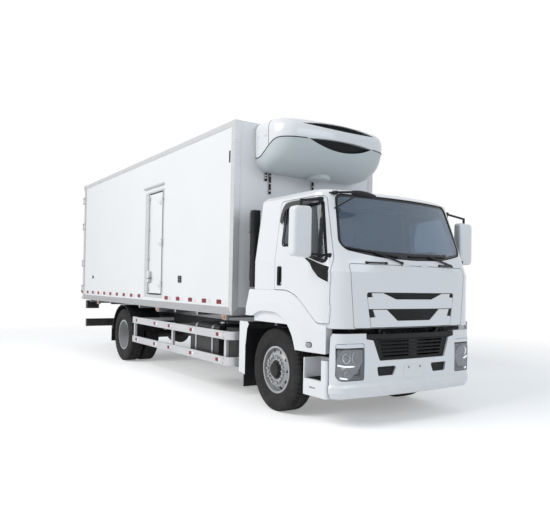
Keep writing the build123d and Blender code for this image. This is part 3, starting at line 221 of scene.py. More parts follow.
def cloth(name, colour):
    """Woven seat cloth: two crossed threads, fibre fuzz and slow fading."""
    mat, tree, shader = new_material(name)
    weave = combine(tree, wave(tree, 170, "DIAGONAL"), wave(tree, 170, "Z"), "MAXIMUM")
    dark = tuple(c * 0.55 for c in colour)
    worn = tuple(c * 1.3 for c in colour)
    base = mix(tree, weave, dark, colour)
    fading = ramp(tree, noise(tree, 5, 4), 0.45, 0.75, 0, 0.6)
    link(tree, mix(tree, fading, base, worn), shader.inputs["Base Color"])
    link(tree, ramp(tree, noise(tree, 60, 3), 0.3, 0.7, 0.8, 0.95), shader.inputs["Roughness"])
    shader.inputs["Sheen Weight"].default_value = 0.3
    bump(tree, shader, weave, 0.4, 0.0015)
    return mat


def glow(name, colour, strength):
    """A lit light guide, its glow varied a little in small patches."""
    mat, tree, shader = new_material(name)
    band = noise(tree, 40, 2)
    pale = tuple(c * 0.9 for c in colour)
    link(tree, mix(tree, band, colour, pale), shader.inputs["Base Color"])
    link(tree, mix(tree, band, colour, pale), shader.inputs["Emission Color"])
    shader.inputs["Emission Strength"].default_value = strength
    shader.inputs["Roughness"].default_value = 0.2
    return mat


M = {}


def add_finish(make, name, *values, **options):
    M[name] = make(name, *values, **options)


add_finish(paint, "white_paint", (0.80, 0.815, 0.84))
add_finish(paint, "white_panel", (0.82, 0.83, 0.845), 0.36, 0.1, top=1.8, most=0.08, edge=0.004)
add_finish(paint, "grey_shell", (0.56, 0.61, 0.625), 0.38, 0.15, top=0.5, edge=0.006)
add_finish(paint, "frame_black", (0.012, 0.0125, 0.0135), 0.5, 0.0, (0.07, 0.065, 0.06), 1.2, 0.4)
add_finish(plastic, "black_plastic", (0.010, 0.011, 0.0125))
add_finish(metal, "alloy", (0.66, 0.665, 0.68), 0.42, metallic=0.35, most=0.12)
add_finish(metal, "dull_alloy", (0.47, 0.47, 0.485), 0.5, metallic=0.35, most=0.25)
add_finish(metal, "steel", (0.50, 0.51, 0.53), 0.35, (90, 90, 3))
add_finish(paint, "wheel_silver", (0.40, 0.41, 0.425), 0.32, 0.2, (0.16, 0.15, 0.14), 1.1, 0.35, 0.004)
add_finish(plastic, "tyre", (0.017, 0.017, 0.018), 0.75, 260, 0.25, (0.075, 0.07, 0.065), 0.4, 1.1)
add_finish(plastic, "rubber", (0.009, 0.009, 0.0095), 0.65, 300, 0.15)
add_finish(paint, "iron", (0.030, 0.030, 0.032), 0.6, 0.0, (0.09, 0.085, 0.08), 1.2, 0.5)
add_finish(glass, "glass", (0.26, 0.31, 0.36), 0.86)
add_finish(plastic, "lamp", (0.12, 0.13, 0.145), 0.25, 60, 0.02, most=0.0, gloss=0.5)
add_finish(plastic, "interior_grey", (0.075, 0.08, 0.087), 0.6, 600, 0.2, most=0.0)
add_finish(cloth, "seat_cloth", (0.10, 0.11, 0.13))
add_finish(metal, "chrome", (0.80, 0.81, 0.83), 0.08, (30, 30, 30), 0.01)
add_finish(glass, "clear", (0.93, 0.95, 0.97), 0.0, 0.02, alpha=0.16)
add_finish(glass, "screen", (0.41, 0.535, 0.68), 0.80)
add_finish(glow, "led", (0.92, 0.95, 1.0), 0.8)
add_finish(glass, "red_lens", (0.45, 0.012, 0.015), 0.35, 0.08, 60)
add_finish(glass, "amber_lens", (0.75, 0.22, 0.01), 0.35, 0.08, 60)
add_finish(glass, "pale_lens", (0.75, 0.77, 0.78), 0.5, 0.08, 60)
add_finish(plastic, "tape_red", (0.20, 0.012, 0.022), 0.3, 300, 0.1, most=0.0)
add_finish(plastic, "tape_white", (0.70, 0.70, 0.72), 0.3, 300, 0.1, most=0.0)
add_finish(metal, "mirror", (0.72, 0.75, 0.78), 0.03, (4, 4, 4), 0.0)
add_finish(plastic, "smoke", (0.018, 0.019, 0.021), 0.2, 90, 0.02, most=0.0, gloss=0.35)


def dress(node, rules=()):
    """Gives a CAD node its slot's finish, and other finishes to faces that a rule picks."""
    mesh = nodes[node].data
    mesh.materials.clear()
    mesh.materials.append(M[SLOTS[node]])
    for number, (finish, picks) in enumerate(rules, 1):
        mesh.materials.append(M[finish])
        for polygon in mesh.polygons:
            if picks(polygon.center, polygon.normal):
                polygon.material_index = number


SLOTS = {entry["node"]: entry["material_slot"] for entry in frame["record"]["subparts"]}
CAB_MIDDLE = Vector((at(0.35), 0, 2.0))
HUB_REACH = 0.121


def faces_cab(centre, normal):
    """Whether a face looks into the cab."""
    inward = CAB_MIDDLE - centre
    return normal.dot(inward) > 0.3 * inward.length


def in_hub(x):
    return lambda c, n: hypot(c.x - x, c.z - TYRE_R) < HUB_REACH


def everywhere(centre, normal):
    return True


RULES = {
    "cab_shell": [("interior_grey", faces_cab),
                  ("black_plastic", lambda c, n: c.z < 1.1195 or n.z < -0.9 and c.z < 1.13)],
    "windshield": [("screen", everywhere)],
    "front_mudguards": [("black_plastic", lambda c, n: n.x > 0.4 or c.z < 0.375 or abs(c.y) < 0.8)],
    "cab_steps": [("black_plastic", lambda c, n: n.z > 0.9 and c.z < 0.6)],
    "box_trim": [("dull_alloy", lambda c, n: c.z < 1.29)],
    "fuel_tank": [("frame_black", everywhere)],
    "silencer": [("iron", everywhere)],
}
for hand in ("right", "left"):
    RULES[f"cab_door_{hand}"] = [("interior_grey", faces_cab)]
    RULES[f"mirror_{hand}"] = [("black_plastic", lambda c, n: abs(c.y) < 1.268 or c.z > 2.505)]
    RULES[f"front_wheel_{hand}"] = [("black_plastic", in_hub(AXLE_X))]
    RULES[f"rear_wheels_{hand}"] = [("black_plastic", in_hub(REAR_AXLE_X))]
for node in nodes:
    dress(node, RULES.get(node, ()))


# Tools for outlines and meshes
def rounded(corners, closed=True, arc=8):
    """Points of an outline from rows of (u, v, corner radius)."""
    points = []
    count = len(corners)
    for i, (u, v, radius) in enumerate(corners):
        here = Vector((u, v))
        if not radius or (not closed and i in (0, count - 1)):
            points.append(here)
            continue
        back = (Vector(corners[i - 1][:2]) - here).normalized()
        on = (Vector(corners[(i + 1) % count][:2]) - here).normalized()
        half = back.angle(on) / 2
        centre = here + (back + on).normalized() * (radius / sin(half))
        start = here + back * (radius / tan(half)) - centre
        end = here + on * (radius / tan(half)) - centre
        first = atan2(start.y, start.x)
        sweep = (atan2(end.y, end.x) - first + pi) % tau - pi
        for k in range(arc + 1):
            turn = first + sweep * k / arc
            points.append(centre + radius * Vector((cos(turn), sin(turn))))
    return points


def mirrored(half):
    """A whole outline from the half that starts and ends on the middle line."""
    return half + [(-row[0], *row[1:]) for row in reversed(half[1:-1])]


def spread(points, count, closed=True):
    """The same line through evenly spaced points."""
    line = list(points) + ([points[0]] if closed else [])
    marks = [0.0]
    for a, b in zip(line, line[1:]):
        marks.append(marks[-1] + (b - a).length)
    out = []
    i = 0
    for k in range(count):
        goal = marks[-1] * k / (count if closed else count - 1)
        while i < len(line) - 2 and marks[i + 1] < goal:
            i += 1
        span = max(marks[i + 1] - marks[i], 1e-9)
        out.append(line[i].lerp(line[i + 1], min(1, (goal - marks[i]) / span)))
    return out


def drawn_in(points, distance):
    """A closed outline moved in by a distance, or out by a negative one."""
    count = len(points)
    area = sum(points[i - 1].x * points[i].y - points[i].x * points[i - 1].y for i in range(count))
    hand = 1 if area > 0 else -1
    out = []
    for i, here in enumerate(points):
        along = (points[(i + 1) % count] - points[i - 1]).normalized()
        out.append(here + Vector((-along.y, along.x)) * hand * distance)
    return out


def skin(*names):
    """A search tree over CAD nodes' meshes."""
    verts, faces = [], []
    for name in names:
        mesh = nodes[name].data
        first = len(verts)
        verts += [v.co.copy() for v in mesh.vertices]
        faces += [[first + i for i in p.vertices] for p in mesh.polygons]
    return BVHTree.FromPolygons(verts, faces)


class View:
    """A main direction from which outlines are laid on a surface."""

    def __init__(self, kind):
        self.kind = kind
        ways = {"front": (-1, 0, 0), "right": (0, 1, 0), "left": (0, -1, 0), "top": (0, 0, -1)}
        self.way = Vector(ways[kind])

    def start(self, point):
        u, v = point
        places = {"front": (6, u, v), "right": (u, -3, v), "left": (u, 3, v), "top": (u, v, 6)}
        return Vector(places[self.kind])

    def lay(self, tree, points, lift=0.0):
        """Points on the surface, lifted off it; one past its edge takes its neighbour's depth."""
        depths = [tree.ray_cast(self.start(p), self.way)[3] for p in points]
        known = [d for d in depths if d is not None]
        if not known:
            raise RuntimeError(f"an outline misses its surface from the {self.kind}")
        last = known[0]
        out = []
        for p, d in zip(points, depths):
            last = last if d is None else d
            out.append(self.start(p) + self.way * (last - lift))
        return out


FRONT, TOP = View("front"), View("top")
SIDES = {-1: View("right"), 1: View("left")}
HAND = {-1: "right", 1: "left"}


class Piece:
    """One piece of the scene, built up from closed forms."""

    def __init__(self, name, body, slot, *finishes):
        self.name, self.body, self.slot = name, body, slot
        self.finishes = finishes
        self.bm = bmesh.new()

    def loft(self, rings, finish=0, closed=True, loop=False):
        """Skins a row of rings with as many points each; ends are capped unless the row is a loop."""
        made = [[self.bm.verts.new(p) for p in ring] for ring in rings]
        count = len(made[0])
        pairs = list(zip(made, made[1:])) + ([(made[-1], made[0])] if loop else [])
        for a, b in pairs:
            for i in range(count if closed else count - 1):
                j = (i + 1) % count
                self.bm.faces.new((a[i], a[j], b[j], b[i])).material_index = finish
        if closed and not loop:
            for ring in (made[0], made[-1]):
                self.bm.faces.new(ring).material_index = finish

    def tube(self, points, radius, finish=0, sides=10, loop=False, flat=1.0):
        """A round bar through a row of points, or an oval one."""
        rings = []
        count = len(points)
        side = None
        for i, here in enumerate(points):
            if loop:
                along = points[(i + 1) % count] - points[i - 1]
            else:
                along = points[min(i + 1, count - 1)] - points[max(i - 1, 0)]
            along.normalize()
            if side is None:
                side = along.cross(Vector((0.03, 0.02, 1)) if abs(along.z) < 0.9 else Vector((0, 1, 0.02)))
            side = (side - along * side.dot(along)).normalized()
            over = along.cross(side)
            rings.append([here + radius * (cos(tau * k / sides) * side + flat * sin(tau * k / sides) * over)
                          for k in range(sides)])
        self.loft(rings, finish, loop=loop)

    def block(self, low, high, edge=0.004, finish=0, turn=None):
        """A block with rounded edges, turned about its middle where a matrix is given."""
        low, high = Vector(low), Vector(high)
        middle = (low + high) / 2
        size = Vector((abs(high.x - low.x), abs(high.y - low.y), abs(high.z - low.z)))
        part = bmesh.new()
        bmesh.ops.create_cube(part, size=1)
        bmesh.ops.scale(part, vec=size, verts=part.verts)
        edge = min(edge, min(size) * 0.45)
        bmesh.ops.bevel(part, geom=part.edges[:], offset=edge, segments=2, affect="EDGES", profile=0.5)
        for face in part.faces:
            face.material_index = finish
        if turn:
            bmesh.ops.transform(part, matrix=turn, verts=part.verts)
        bmesh.ops.translate(part, vec=middle, verts=part.verts)
        mesh = bpy.data.meshes.new("block")
        part.to_mesh(mesh)
        part.free()
        self.bm.from_mesh(mesh)
        bpy.data.meshes.remove(mesh)

    def turned(self, centre, axis, profile, finish=0, sides=24):
        """A form turned about an axis from rows of (radius, distance along it)."""
        axis = Vector(axis).normalized()
        side = axis.orthogonal().normalized()
        over = axis.cross(side)
        centre = Vector(centre)
        spokes = [cos(tau * k / sides) * side + sin(tau * k / sides) * over for k in range(sides)]
        self.loft([[centre + axis * reach + max(radius, 1e-4) * spoke for spoke in spokes]
                   for radius, reach in profile], finish)

    def band(self, view, tree, outer, inner, lift, finish=0, sink=0.004, open_ends=False):
        """A flat band lying on a surface between two lines with the same number of points."""
        rows = zip(view.lay(tree, outer), view.lay(tree, inner))
        way = view.way
        rings = [[a + way * sink, a - way * lift, b - way * lift, b + way * sink] for a, b in rows]
        self.loft(rings, finish, loop=not open_ends)

    def patch(self, view, tree, outline, steps, finish=0, sink=0.004):
        """A raised patch on a surface: its outline drawn in step by step, with a lift at each."""
        base = view.lay(tree, outline)
        rings = [[p + view.way * sink for p in base]]
        for inset, lift in steps:
            rings.append([p - view.way * lift for p in view.lay(tree, drawn_in(outline, inset))])
        middle = sum(outline, Vector((0, 0))) / len(outline)
        shrunk = [p.lerp(middle, 0.5) for p in drawn_in(outline, steps[-1][0])]
        rings.append([p - view.way * steps[-1][1] for p in view.lay(tree, shrunk)])
        self.loft(rings, finish)

    def dome(self, centre, axis, radius, rise, finish=0, sides=10):
        """A rivet or bolt head."""
        self.turned(centre, axis, [(radius, -0.002), (radius, rise * 0.45), (radius * 0.7, rise * 0.9),
                                   (0, rise)],
                    finish, sides)

    def bolt(self, centre, axis, radius, rise, finish=0):
        """A hexagon head on a washer."""
        self.turned(centre, axis, [(radius * 1.35, -0.002), (radius * 1.35, rise * 0.2), (0, rise * 0.2)],
                    finish, 16)
        self.turned(centre, axis, [(radius, 0), (radius, rise * 0.85), (radius * 0.8, rise), (0, rise)],
                    finish, 6)

    def done(self, smooth=38):
        bmesh.ops.remove_doubles(self.bm, verts=self.bm.verts[:], dist=1e-6)
        bmesh.ops.recalc_face_normals(self.bm, faces=self.bm.faces[:])
        mesh = bpy.data.meshes.new(self.name)
        self.bm.to_mesh(mesh)
        self.bm.free()
        for finish in self.finishes:
            mesh.materials.append(M[finish])
        mesh.shade_smooth()
        mesh.set_sharp_from_angle(angle=radians(smooth))
        made = bpy.data.objects.new(self.name, mesh)
        scene.collection.objects.link(made)
        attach(made, self.body)
        return made


def across(first, last, count):
    """Evenly spaced numbers from first to last."""
    return [first + (last - first) * k / (count - 1) for k in range(count)]


def level_row(first, last, v, count):
    """A level line of points."""
    return [Vector((u, v)) for u in across(first, last, count)]


def panel(u0, v0, u1, v1, radius, arc, count=0):
    """A rectangle with rounded corners, evenly spread where a count is given."""
    points = rounded([(u0, v0, radius), (u1, v0, radius), (u1, v1, radius), (u0, v1, radius)], arc=arc)
    return spread(points, count) if count else points


def placed(points):
    """Points given from the front axle, moved to their place along X."""
    return [Vector((at(u), v)) for u, v in points]


def facing(x, points):
    """An outline stood across the truck."""
    return [Vector((x, p.x, p.y)) for p in points]


def beside(y, points):
    """An outline stood along the truck."""
    return [Vector((p.x, y, p.y)) for p in points]


def flip(points, side):
    """An outline of the left side, mirrored for the right."""
    return [Vector((side * p.x, p.y)) for p in points]


# Treaded tyres
# radius and distance from the tyre's middle plane, from the bead up the sidewall to the shoulder
SIDEWALL = [(0.287, 0.1028), (0.300, 0.1034), (0.306, 0.111), (0.328, 0.126), (0.346, 0.1325),
            (0.350, 0.1365),
            (0.362, 0.1375), (0.366, 0.1352), (0.392, 0.1400), (0.418, 0.1418), (0.424, 0.1395),
            (0.430, 0.1415),
            (0.452, 0.1375), (0.474, 0.1305), (0.494, 0.1235), (0.509, 0.1150)]
# the tread's ribs and grooves from the shoulder to the middle, with how deep cross grooves cut there
TREAD = [(0.5205, 0.1060, 0.010), (0.522, 0.0630, 0.010), (0.509, 0.0605, 0), (0.509, 0.0530, 0),
         (0.522, 0.0505, 0), (0.522, 0.0275, 0), (0.510, 0.0250, 0), (0.510, 0.0190, 0), (0.522, 0.0165, 0)]
TREAD_PITCHES = 54
# share of a pitch at which the cross groove starts and ends, and whether it is cut there
PITCH_STEPS = [(0.0, 1), (0.15, 1), (0.19, 0), (0.96, 0)]
FRONT_TYRE_Y, REAR_TYRE_Y, TWIN_SHIFT = 1.02, 0.93, 0.16


def tyre(piece, x, y):
    column = [(r, w, 0) for r, w in SIDEWALL[:-2]] + [(r, w, 0.006) for r, w in SIDEWALL[-2:]] + TREAD
    section = column + [(r, -w, cut) for r, w, cut in reversed(column)]
    rings = []
    for n in range(TREAD_PITCHES):
        for share, cut in PITCH_STEPS:
            turn = tau * (n + share) / TREAD_PITCHES
            ring = [(r - depth * cut, w) for r, w, depth in section]
            rings.append([Vector((x + r * cos(turn), y + w, TYRE_R + r * sin(turn))) for r, w in ring])
    piece.loft(rings, loop=True)


for side in (-1, 1):
    hand = HAND[side]
    piece = Piece(f"treaded_front_tyre_{hand}", f"front_wheel_{hand}", "tyre", "tyre")
    tyre(piece, AXLE_X, side * FRONT_TYRE_Y)
    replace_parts(piece.done(50), f"front_tyre_{hand}")
    piece = Piece(f"treaded_rear_tyres_{hand}", f"rear_wheels_{hand}", "tyre", "tyre")
    for shift in (-TWIN_SHIFT, TWIN_SHIFT):
        tyre(piece, REAR_AXLE_X, side * REAR_TYRE_Y + shift)
    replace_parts(piece.done(50), f"rear_tyres_{hand}")

# Wheel nuts, hub cap bolts and valves
# wheel, axle, outer face of the disc, how far out and how wide its cap bolts sit
WHEELS = (("front_wheel", AXLE_X, FRONT_TYRE_Y + 0.1026, 0.012, 0.092),
          ("rear_wheels", REAR_AXLE_X, REAR_TYRE_Y + 0.014, 0.075, 0.094))
NUT_CIRCLE, NUTS = 0.1675, 10
for side in (-1, 1):
    for name, x, face, cap_out, cap_circle in WHEELS:
        piece = Piece(f"{name}_fittings_{HAND[side]}", f"{name}_{HAND[side]}", "steel", "steel", "iron",
                      "rubber")
        out = Vector((0, side, 0))
        for n in range(NUTS):
            spoke = Vector((cos(tau * n / NUTS), 0, sin(tau * n / NUTS)))
            piece.bolt(Vector((x, side * face, TYRE_R)) + spoke * NUT_CIRCLE, out, 0.0185, 0.036)
            piece.bolt(Vector((x, side * (face + cap_out), TYRE_R)) + spoke * cap_circle, out, 0.006, 0.012,
                       1)
        valve = Vector((x + 0.245, side * (face - 0.03), TYRE_R))
        piece.tube([valve, valve + out * 0.03, valve + out * 0.045 + Vector((-0.012, 0, 0))], 0.005, 2, 8)
        piece.done()

# Headlamps: a dark bowl with bright reflectors and light guides behind a clear cover, under a painted cap
LAMP = rounded([(0.765, 0.54, 0.025), (1.121, 0.54, 0.075), (1.121, 0.898, 0.03), (0.765, 0.898, 0.03)],
               arc=6)
LAMP_CAP = rounded([(0.768, 0.905, 0.006), (1.118, 0.905, 0.006), (1.118, 0.952, 0.028),
                    (0.768, 0.952, 0.028)], arc=5)
# how far each ring is drawn in, and how far it lies off the CAD lamp's face
BOWL = ((0.001, 0.010), (0.007, 0.010), (0.010, -0.004), (0.016, -0.036), (0, -0.042))
COVER = ((0.007, 0.003), (0.007, 0.007), (0.03, 0.009))
REFLECTORS = ((0.868, 0.795, 0.060), (0.995, 0.790, 0.056), (0.875, 0.615, 0.040), (0.985, 0.618, 0.036))
lamp_skin = skin("headlamps")


def lamp_ring(outline, inset, forward):
    """The lamp's outline drawn in on its face and moved forward."""
    return [p + Vector((forward, 0, 0)) for p in FRONT.lay(lamp_skin, drawn_in(outline, inset))]


piece = Piece("headlamp_units", "chassis", "lamp", "lamp", "chrome", "led", "clear", "white_paint",
              "amber_lens")
for side in (-1, 1):
    outline = spread(flip(LAMP, side), 72)
    piece.loft([lamp_ring(outline, inset, forward) for inset, forward in BOWL])
    cover = [lamp_ring(outline, inset, forward) for inset, forward in COVER]
    middle = Vector((side * 0.94, 0.72))
    inner = [p.lerp(middle, 0.5) for p in drawn_in(outline, 0.03)]
    piece.loft(cover + [lamp_ring(inner, 0, 0.010)], 3)
    piece.patch(FRONT, lamp_skin, spread(flip(LAMP_CAP, side), 40), [(0.001, 0.009), (0.004, 0.011)], 4, 0.02)
    for y, z, r in REFLECTORS:
        seat = FRONT.lay(lamp_skin, [Vector((side * y, z))], -0.034)[0]
        piece.turned(seat, (1, 0, 0), [(r, 0.0), (r, 0.026), (r * 0.93, 0.026), (r * 0.75, 0.010),
                                       (r * 0.42, 0.004), (0, 0.003)], 1, 28)
        piece.turned(seat, (1, 0, 0), [(r * 0.42, 0.004), (r * 0.42, 0.014), (r * 0.3, 0.022), (0, 0.025)], 3,
                     20)
    for y0, y1, z, sag in ((0.79, 1.095, 0.698, 0.012), (0.80, 1.07, 0.560, 0.010)):
        guide = [Vector((side * (y0 + (y1 - y0) * share), z + 1.6 * sag * (2 * share - 1) ** 2))
                 for share in across(0, 1, 15)]
        piece.tube(FRONT.lay(lamp_skin, guide, -0.006), 0.0085, 2, 8)
    trim = [Vector((side * (0.79 + 0.30 * k / 12), 0.885 - 0.004 * (k / 6 - 1) ** 2)) for k in range(13)]
    piece.tube(FRONT.lay(lamp_skin, trim, -0.012), 0.007, 1, 8)
    for n in range(4):
        fin = level_row(side * 0.80, side * 1.06, 0.655 + n * 0.011, 11)
        piece.tube(FRONT.lay(lamp_skin, fin, -0.022), 0.0035, 5 if n < 2 else 1, 6)
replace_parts(piece.done(), "headlamps")

# Grille slats on the lid's dark plate, and fine fins in the lower grille
plate_skin = skin("lid_grille")
piece = Piece("grille_slats", "front_lid", "black_plastic", "black_plastic")
for z, reach in ((1.470, 0.36), (1.489, 0.42), (1.508, 0.47), (1.222, 0.30), (1.245, 0.335), (1.268, 0.365),
                 (1.291, 0.395), (1.314, 0.42)):
    piece.tube(FRONT.lay(plate_skin, level_row(-reach, reach, z, 25), 0.003), 0.0055, 0, 8)
piece.done()
lower_skin = skin("lower_grille")
piece = Piece("lower_grille_fins", "chassis", "black_plastic", "black_plastic")
for n in range(6):
    reach = 0.505 + n * 0.012
    fin = level_row(-reach, reach, 0.776 + n * 0.042, 29)
    piece.tube(FRONT.lay(lower_skin, fin, 0.002), 0.008, 0, 8, flat=0.6)
for side in (-1, 1):
    for z, near, far in ((0.600, 0.34, 0.555), (0.628, 0.31, 0.572), (0.656, 0.31, 0.572)):
        fin = level_row(side * near, side * far, z, 11)
        piece.tube(FRONT.lay(lower_skin, fin, 0.002), 0.007, 0, 8, flat=0.6)
piece.done()

# Blank plate and its bolts on the bumper
bumper_skin = skin("front_bumper", "lower_grille")
piece = Piece("blank_plate", "chassis", "white_paint", "white_paint", "steel", "rubber")
plate = panel(-0.17, 0.530, 0.17, 0.690, 0.012, 4, 48)
piece.patch(FRONT, bumper_skin, plate, [(0.0, 0.005), (0.002, 0.008), (0.010, 0.008), (0.013, 0.0065)])
for y in (-0.095, 0.095):
    seat = FRONT.lay(bumper_skin, [Vector((y, 0.655))], 0.006)[0]
    piece.turned(seat, (1, 0, 0), [(0.013, 0), (0.013, 0.003), (0, 0.003)], 2, 16)
    piece.bolt(seat + Vector((0.002, 0, 0)), (1, 0, 0), 0.007, 0.007, 1)
piece.done()

# Windshield: black border and seal
screen_skin = skin("windshield")
cab_skin = skin("cab_shell")
SCREEN = spread(rounded(mirrored([(0, BELT + 0.015, 0), (0.52, BELT + 0.03, 2.5), (1.04, BELT + 0.12, 0.13),
                                  (0.942, BROW - 0.008, 0.10), (0, BROW - 0.008, 0)])), 160)
piece = Piece("windshield_border", "cab", "black_plastic", "smoke", "rubber")
for start, end, lift in ((0.002, 0.030, 0.0012), (0.030, 0.036, 0.0010)):
    piece.band(FRONT, screen_skin, drawn_in(SCREEN, start), drawn_in(SCREEN, end), lift, 0, 0.002)
low_edge = sorted((p for p in SCREEN if p.y < BELT + 0.06 and abs(p.x) < 0.90), key=lambda p: p.x)
inner_edge = [Vector((p.x * 0.985, p.y + 0.085 - 0.03 * (p.x / 0.9) ** 2)) for p in low_edge]
piece.band(FRONT, screen_skin, [p + Vector((0, 0.02)) for p in low_edge], inner_edge, 0.0013, 0, 0.002, True)
piece.tube(FRONT.lay(screen_skin, drawn_in(SCREEN, 0.006), 0.004), 0.0075, 1, 8, True)
piece.done()

# Doors: window seal with the black corner panel, rain visor, handle and mirror glass
WINDOW = [(0.160, BELT + 0.188, 0.045), (0.160, BROW - 0.105, 0.04), (0.822, BROW - 0.105, 0.045),
          (1.026, BELT - 0.042, 0.03), (0.640, BELT + 0.066, 0.14), (0.545, BELT + 0.182, 0.12)]
# upper and lower edge of the black panel under the window's front corner, as (station, height)
CORNER_TOP = [(0.655, 1.940), (0.760, 1.904), (0.870, 1.868), (0.970, 1.838), (1.060, 1.812)]
CORNER_LOW = [(0.668, 1.916), (0.765, 1.856), (0.825, 1.775), (0.915, 1.700), (1.060, 1.640)]
# share of the way down the panel, and how far it stands out there
CORNER_RISE = [(0.0, 0.0), (0.04, 0.006), (0.35, 0.011), (0.65, 0.011), (0.96, 0.006), (1.0, 0.0)]
# the visor's root on the door and its free edge, as (station, height, how far it stands out)
VISOR_ROOT = [(0.050, 2.400), (0.056, 2.500), (0.080, 2.570), (0.126, 2.618), (0.200, 2.634), (0.400, 2.636),
              (0.600, 2.636), (0.780, 2.632), (0.822, 2.600)]
VISOR_EDGE = [(0.150, 2.350, 0.036), (0.178, 2.440, 0.050), (0.196, 2.490, 0.056), (0.222, 2.520, 0.060),
              (0.270, 2.535, 0.062), (0.430, 2.545, 0.062), (0.600, 2.550, 0.058), (0.770, 2.560, 0.044),
              (0.838, 2.560, 0.020)]
# middle line of the handle's grip, as (station, distance from the middle, height)
GRIP = [(0.118, 1.192, 1.618), (0.122, 1.204, 1.640), (0.124, 1.208, 1.71), (0.122, 1.204, 1.775),
        (0.118, 1.192, 1.797)]
MIRROR_BACK = at(0.850 - 0.055)
for side in (-1, 1):
    hand = HAND[side]
    view = SIDES[side]
    door_skin = skin(f"cab_door_{hand}")
    pane_skin = skin(f"door_glass_{hand}")
    outline = spread(placed(rounded(WINDOW)), 150)
    piece = Piece(f"window_seal_{hand}", f"cab_door_{hand}", "rubber", "rubber", "smoke", "steel")
    piece.band(view, door_skin, drawn_in(outline, -0.017), drawn_in(outline, -0.002), 0.003, 0)
    piece.band(view, pane_skin, drawn_in(outline, 0.002), drawn_in(outline, 0.018), 0.004, 0, 0.002)
    piece.tube(view.lay(door_skin, drawn_in(outline, -0.004), 0.002), 0.0045, 0, 8, True)
    top = spread(placed(CORNER_TOP), 24, False)
    low = spread(placed(CORNER_LOW), 24, False)
    lines = [view.lay(door_skin, [a.lerp(b, share) for a, b in zip(top, low)], lift)
             for share, lift in CORNER_RISE]
    piece.loft([[*points, points[-1] + view.way * 0.004, points[0] + view.way * 0.004]
                for points in zip(*lines)])
    piece.done()

    piece = Piece(f"rain_visor_{hand}", f"cab_door_{hand}", "black_plastic", "smoke")
    root = view.lay(door_skin, spread(placed(VISOR_ROOT), 32, False))
    edge = spread([Vector((at(u), v, out)) for u, v, out in VISOR_EDGE], 32, False)
    thick = -view.way * 0.004
    rings = []
    for foot, end in zip(root, edge):
        tip = Vector((end.x, foot.y + side * end.z, end.y))
        belly = foot.lerp(tip, 0.45) + Vector((0, side * 0.014, 0.006))
        rings.append([foot + view.way * 0.003, foot + thick, belly + thick, tip + thick, tip, belly])
    piece.loft(rings)
    piece.done(60)

    piece = Piece(f"door_handle_{hand}", f"cab_door_{hand}", "black_plastic", "black_plastic", "rubber",
                  "steel")
    cup = spread(placed(panel(0.097, 1.592, 0.183, 1.823, 0.018, 4)), 40)
    piece.band(view, door_skin, drawn_in(cup, -0.006), drawn_in(cup, 0.004), 0.004, 0, 0.012)
    piece.patch(view, door_skin, drawn_in(cup, 0.003), [(0.0, 0.002), (0.004, 0.003)], 1)
    piece.tube([Vector((at(x), side * y, z)) for x, y, z in GRIP], 0.017, 0, 12, flat=0.7)
    piece.turned((at(0.163), side * 1.187, 1.62), (0, side, 0),
                 [(0.011, 0), (0.011, 0.006), (0.008, 0.008), (0, 0.008)], 2, 16)
    piece.done()

    piece = Piece(f"mirror_glass_{hand}", f"cab_door_{hand}", "black_plastic", "mirror", "black_plastic")
    for low, high, inner, outer in ((0.215, 0.572, 1.300, 1.500), (0.050, 0.195, 1.300, 1.504)):
        pane = panel(side * inner, BELT + low, side * outer, BELT + high, 0.03, 5)
        ring = drawn_in(pane, -0.010)
        piece.loft([facing(MIRROR_BACK + 0.003, ring), facing(MIRROR_BACK - 0.006, ring),
                    facing(MIRROR_BACK - 0.006, pane), facing(MIRROR_BACK - 0.002, pane)], 1)
        piece.loft([facing(MIRROR_BACK - 0.0025, pane), facing(MIRROR_BACK - 0.0045, drawn_in(pane, 0.003))],
                   0)
    piece.block((at(0.772), side * 1.060, 2.590), (at(0.828), side * 1.122, 2.632), 0.010, 1)
    piece.block((at(1.005), side * 1.085, 1.915), (at(1.055), side * 1.150, 1.965), 0.010, 1)
    piece.done()

# Grab handles under the windshield, turn lamps on the sills, aerial foot on the roof
arch_skin = skin("wheel_arches")
lens = panel(at(0.775), 0.895, at(0.865), 0.945, 0.02, 5, 36)
piece = Piece("cab_fittings", "cab", "black_plastic", "black_plastic", "amber_lens", "rubber", "pale_lens")
for side in (-1, 1):
    spots = level_row(side * 0.455, side * 0.725, 1.872, 9)
    ends = FRONT.lay(cab_skin, [spots[0], spots[-1]])
    piece.tube([ends[0]] + FRONT.lay(cab_skin, spots[1:-1], 0.022) + [ends[1]], 0.0095, 0, 10)
    for spot in (spots[0], spots[-1]):
        foot = panel(spot.x - 0.022, 1.858, spot.x + 0.022, 1.886, 0.008, 3)
        piece.patch(FRONT, cab_skin, foot, [(0.0, 0.004), (0.003, 0.009)], 0)
    piece.patch(SIDES[side], arch_skin, drawn_in(lens, -0.006), [(0.0, 0.004), (0.004, 0.007)], 2)
    piece.patch(SIDES[side], arch_skin, lens, [(0.0, 0.010), (0.005, 0.015), (0.012, 0.017)], 3)
roof_foot = TOP.lay(cab_skin, [Vector((at(0.34), -0.86))])[0]
piece.turned(roof_foot, (0, 0, 1), [(0.030, -0.02), (0.028, 0.012), (0.020, 0.026), (0.010, 0.040),
                                    (0, 0.044)], 0, 20)
piece.done()

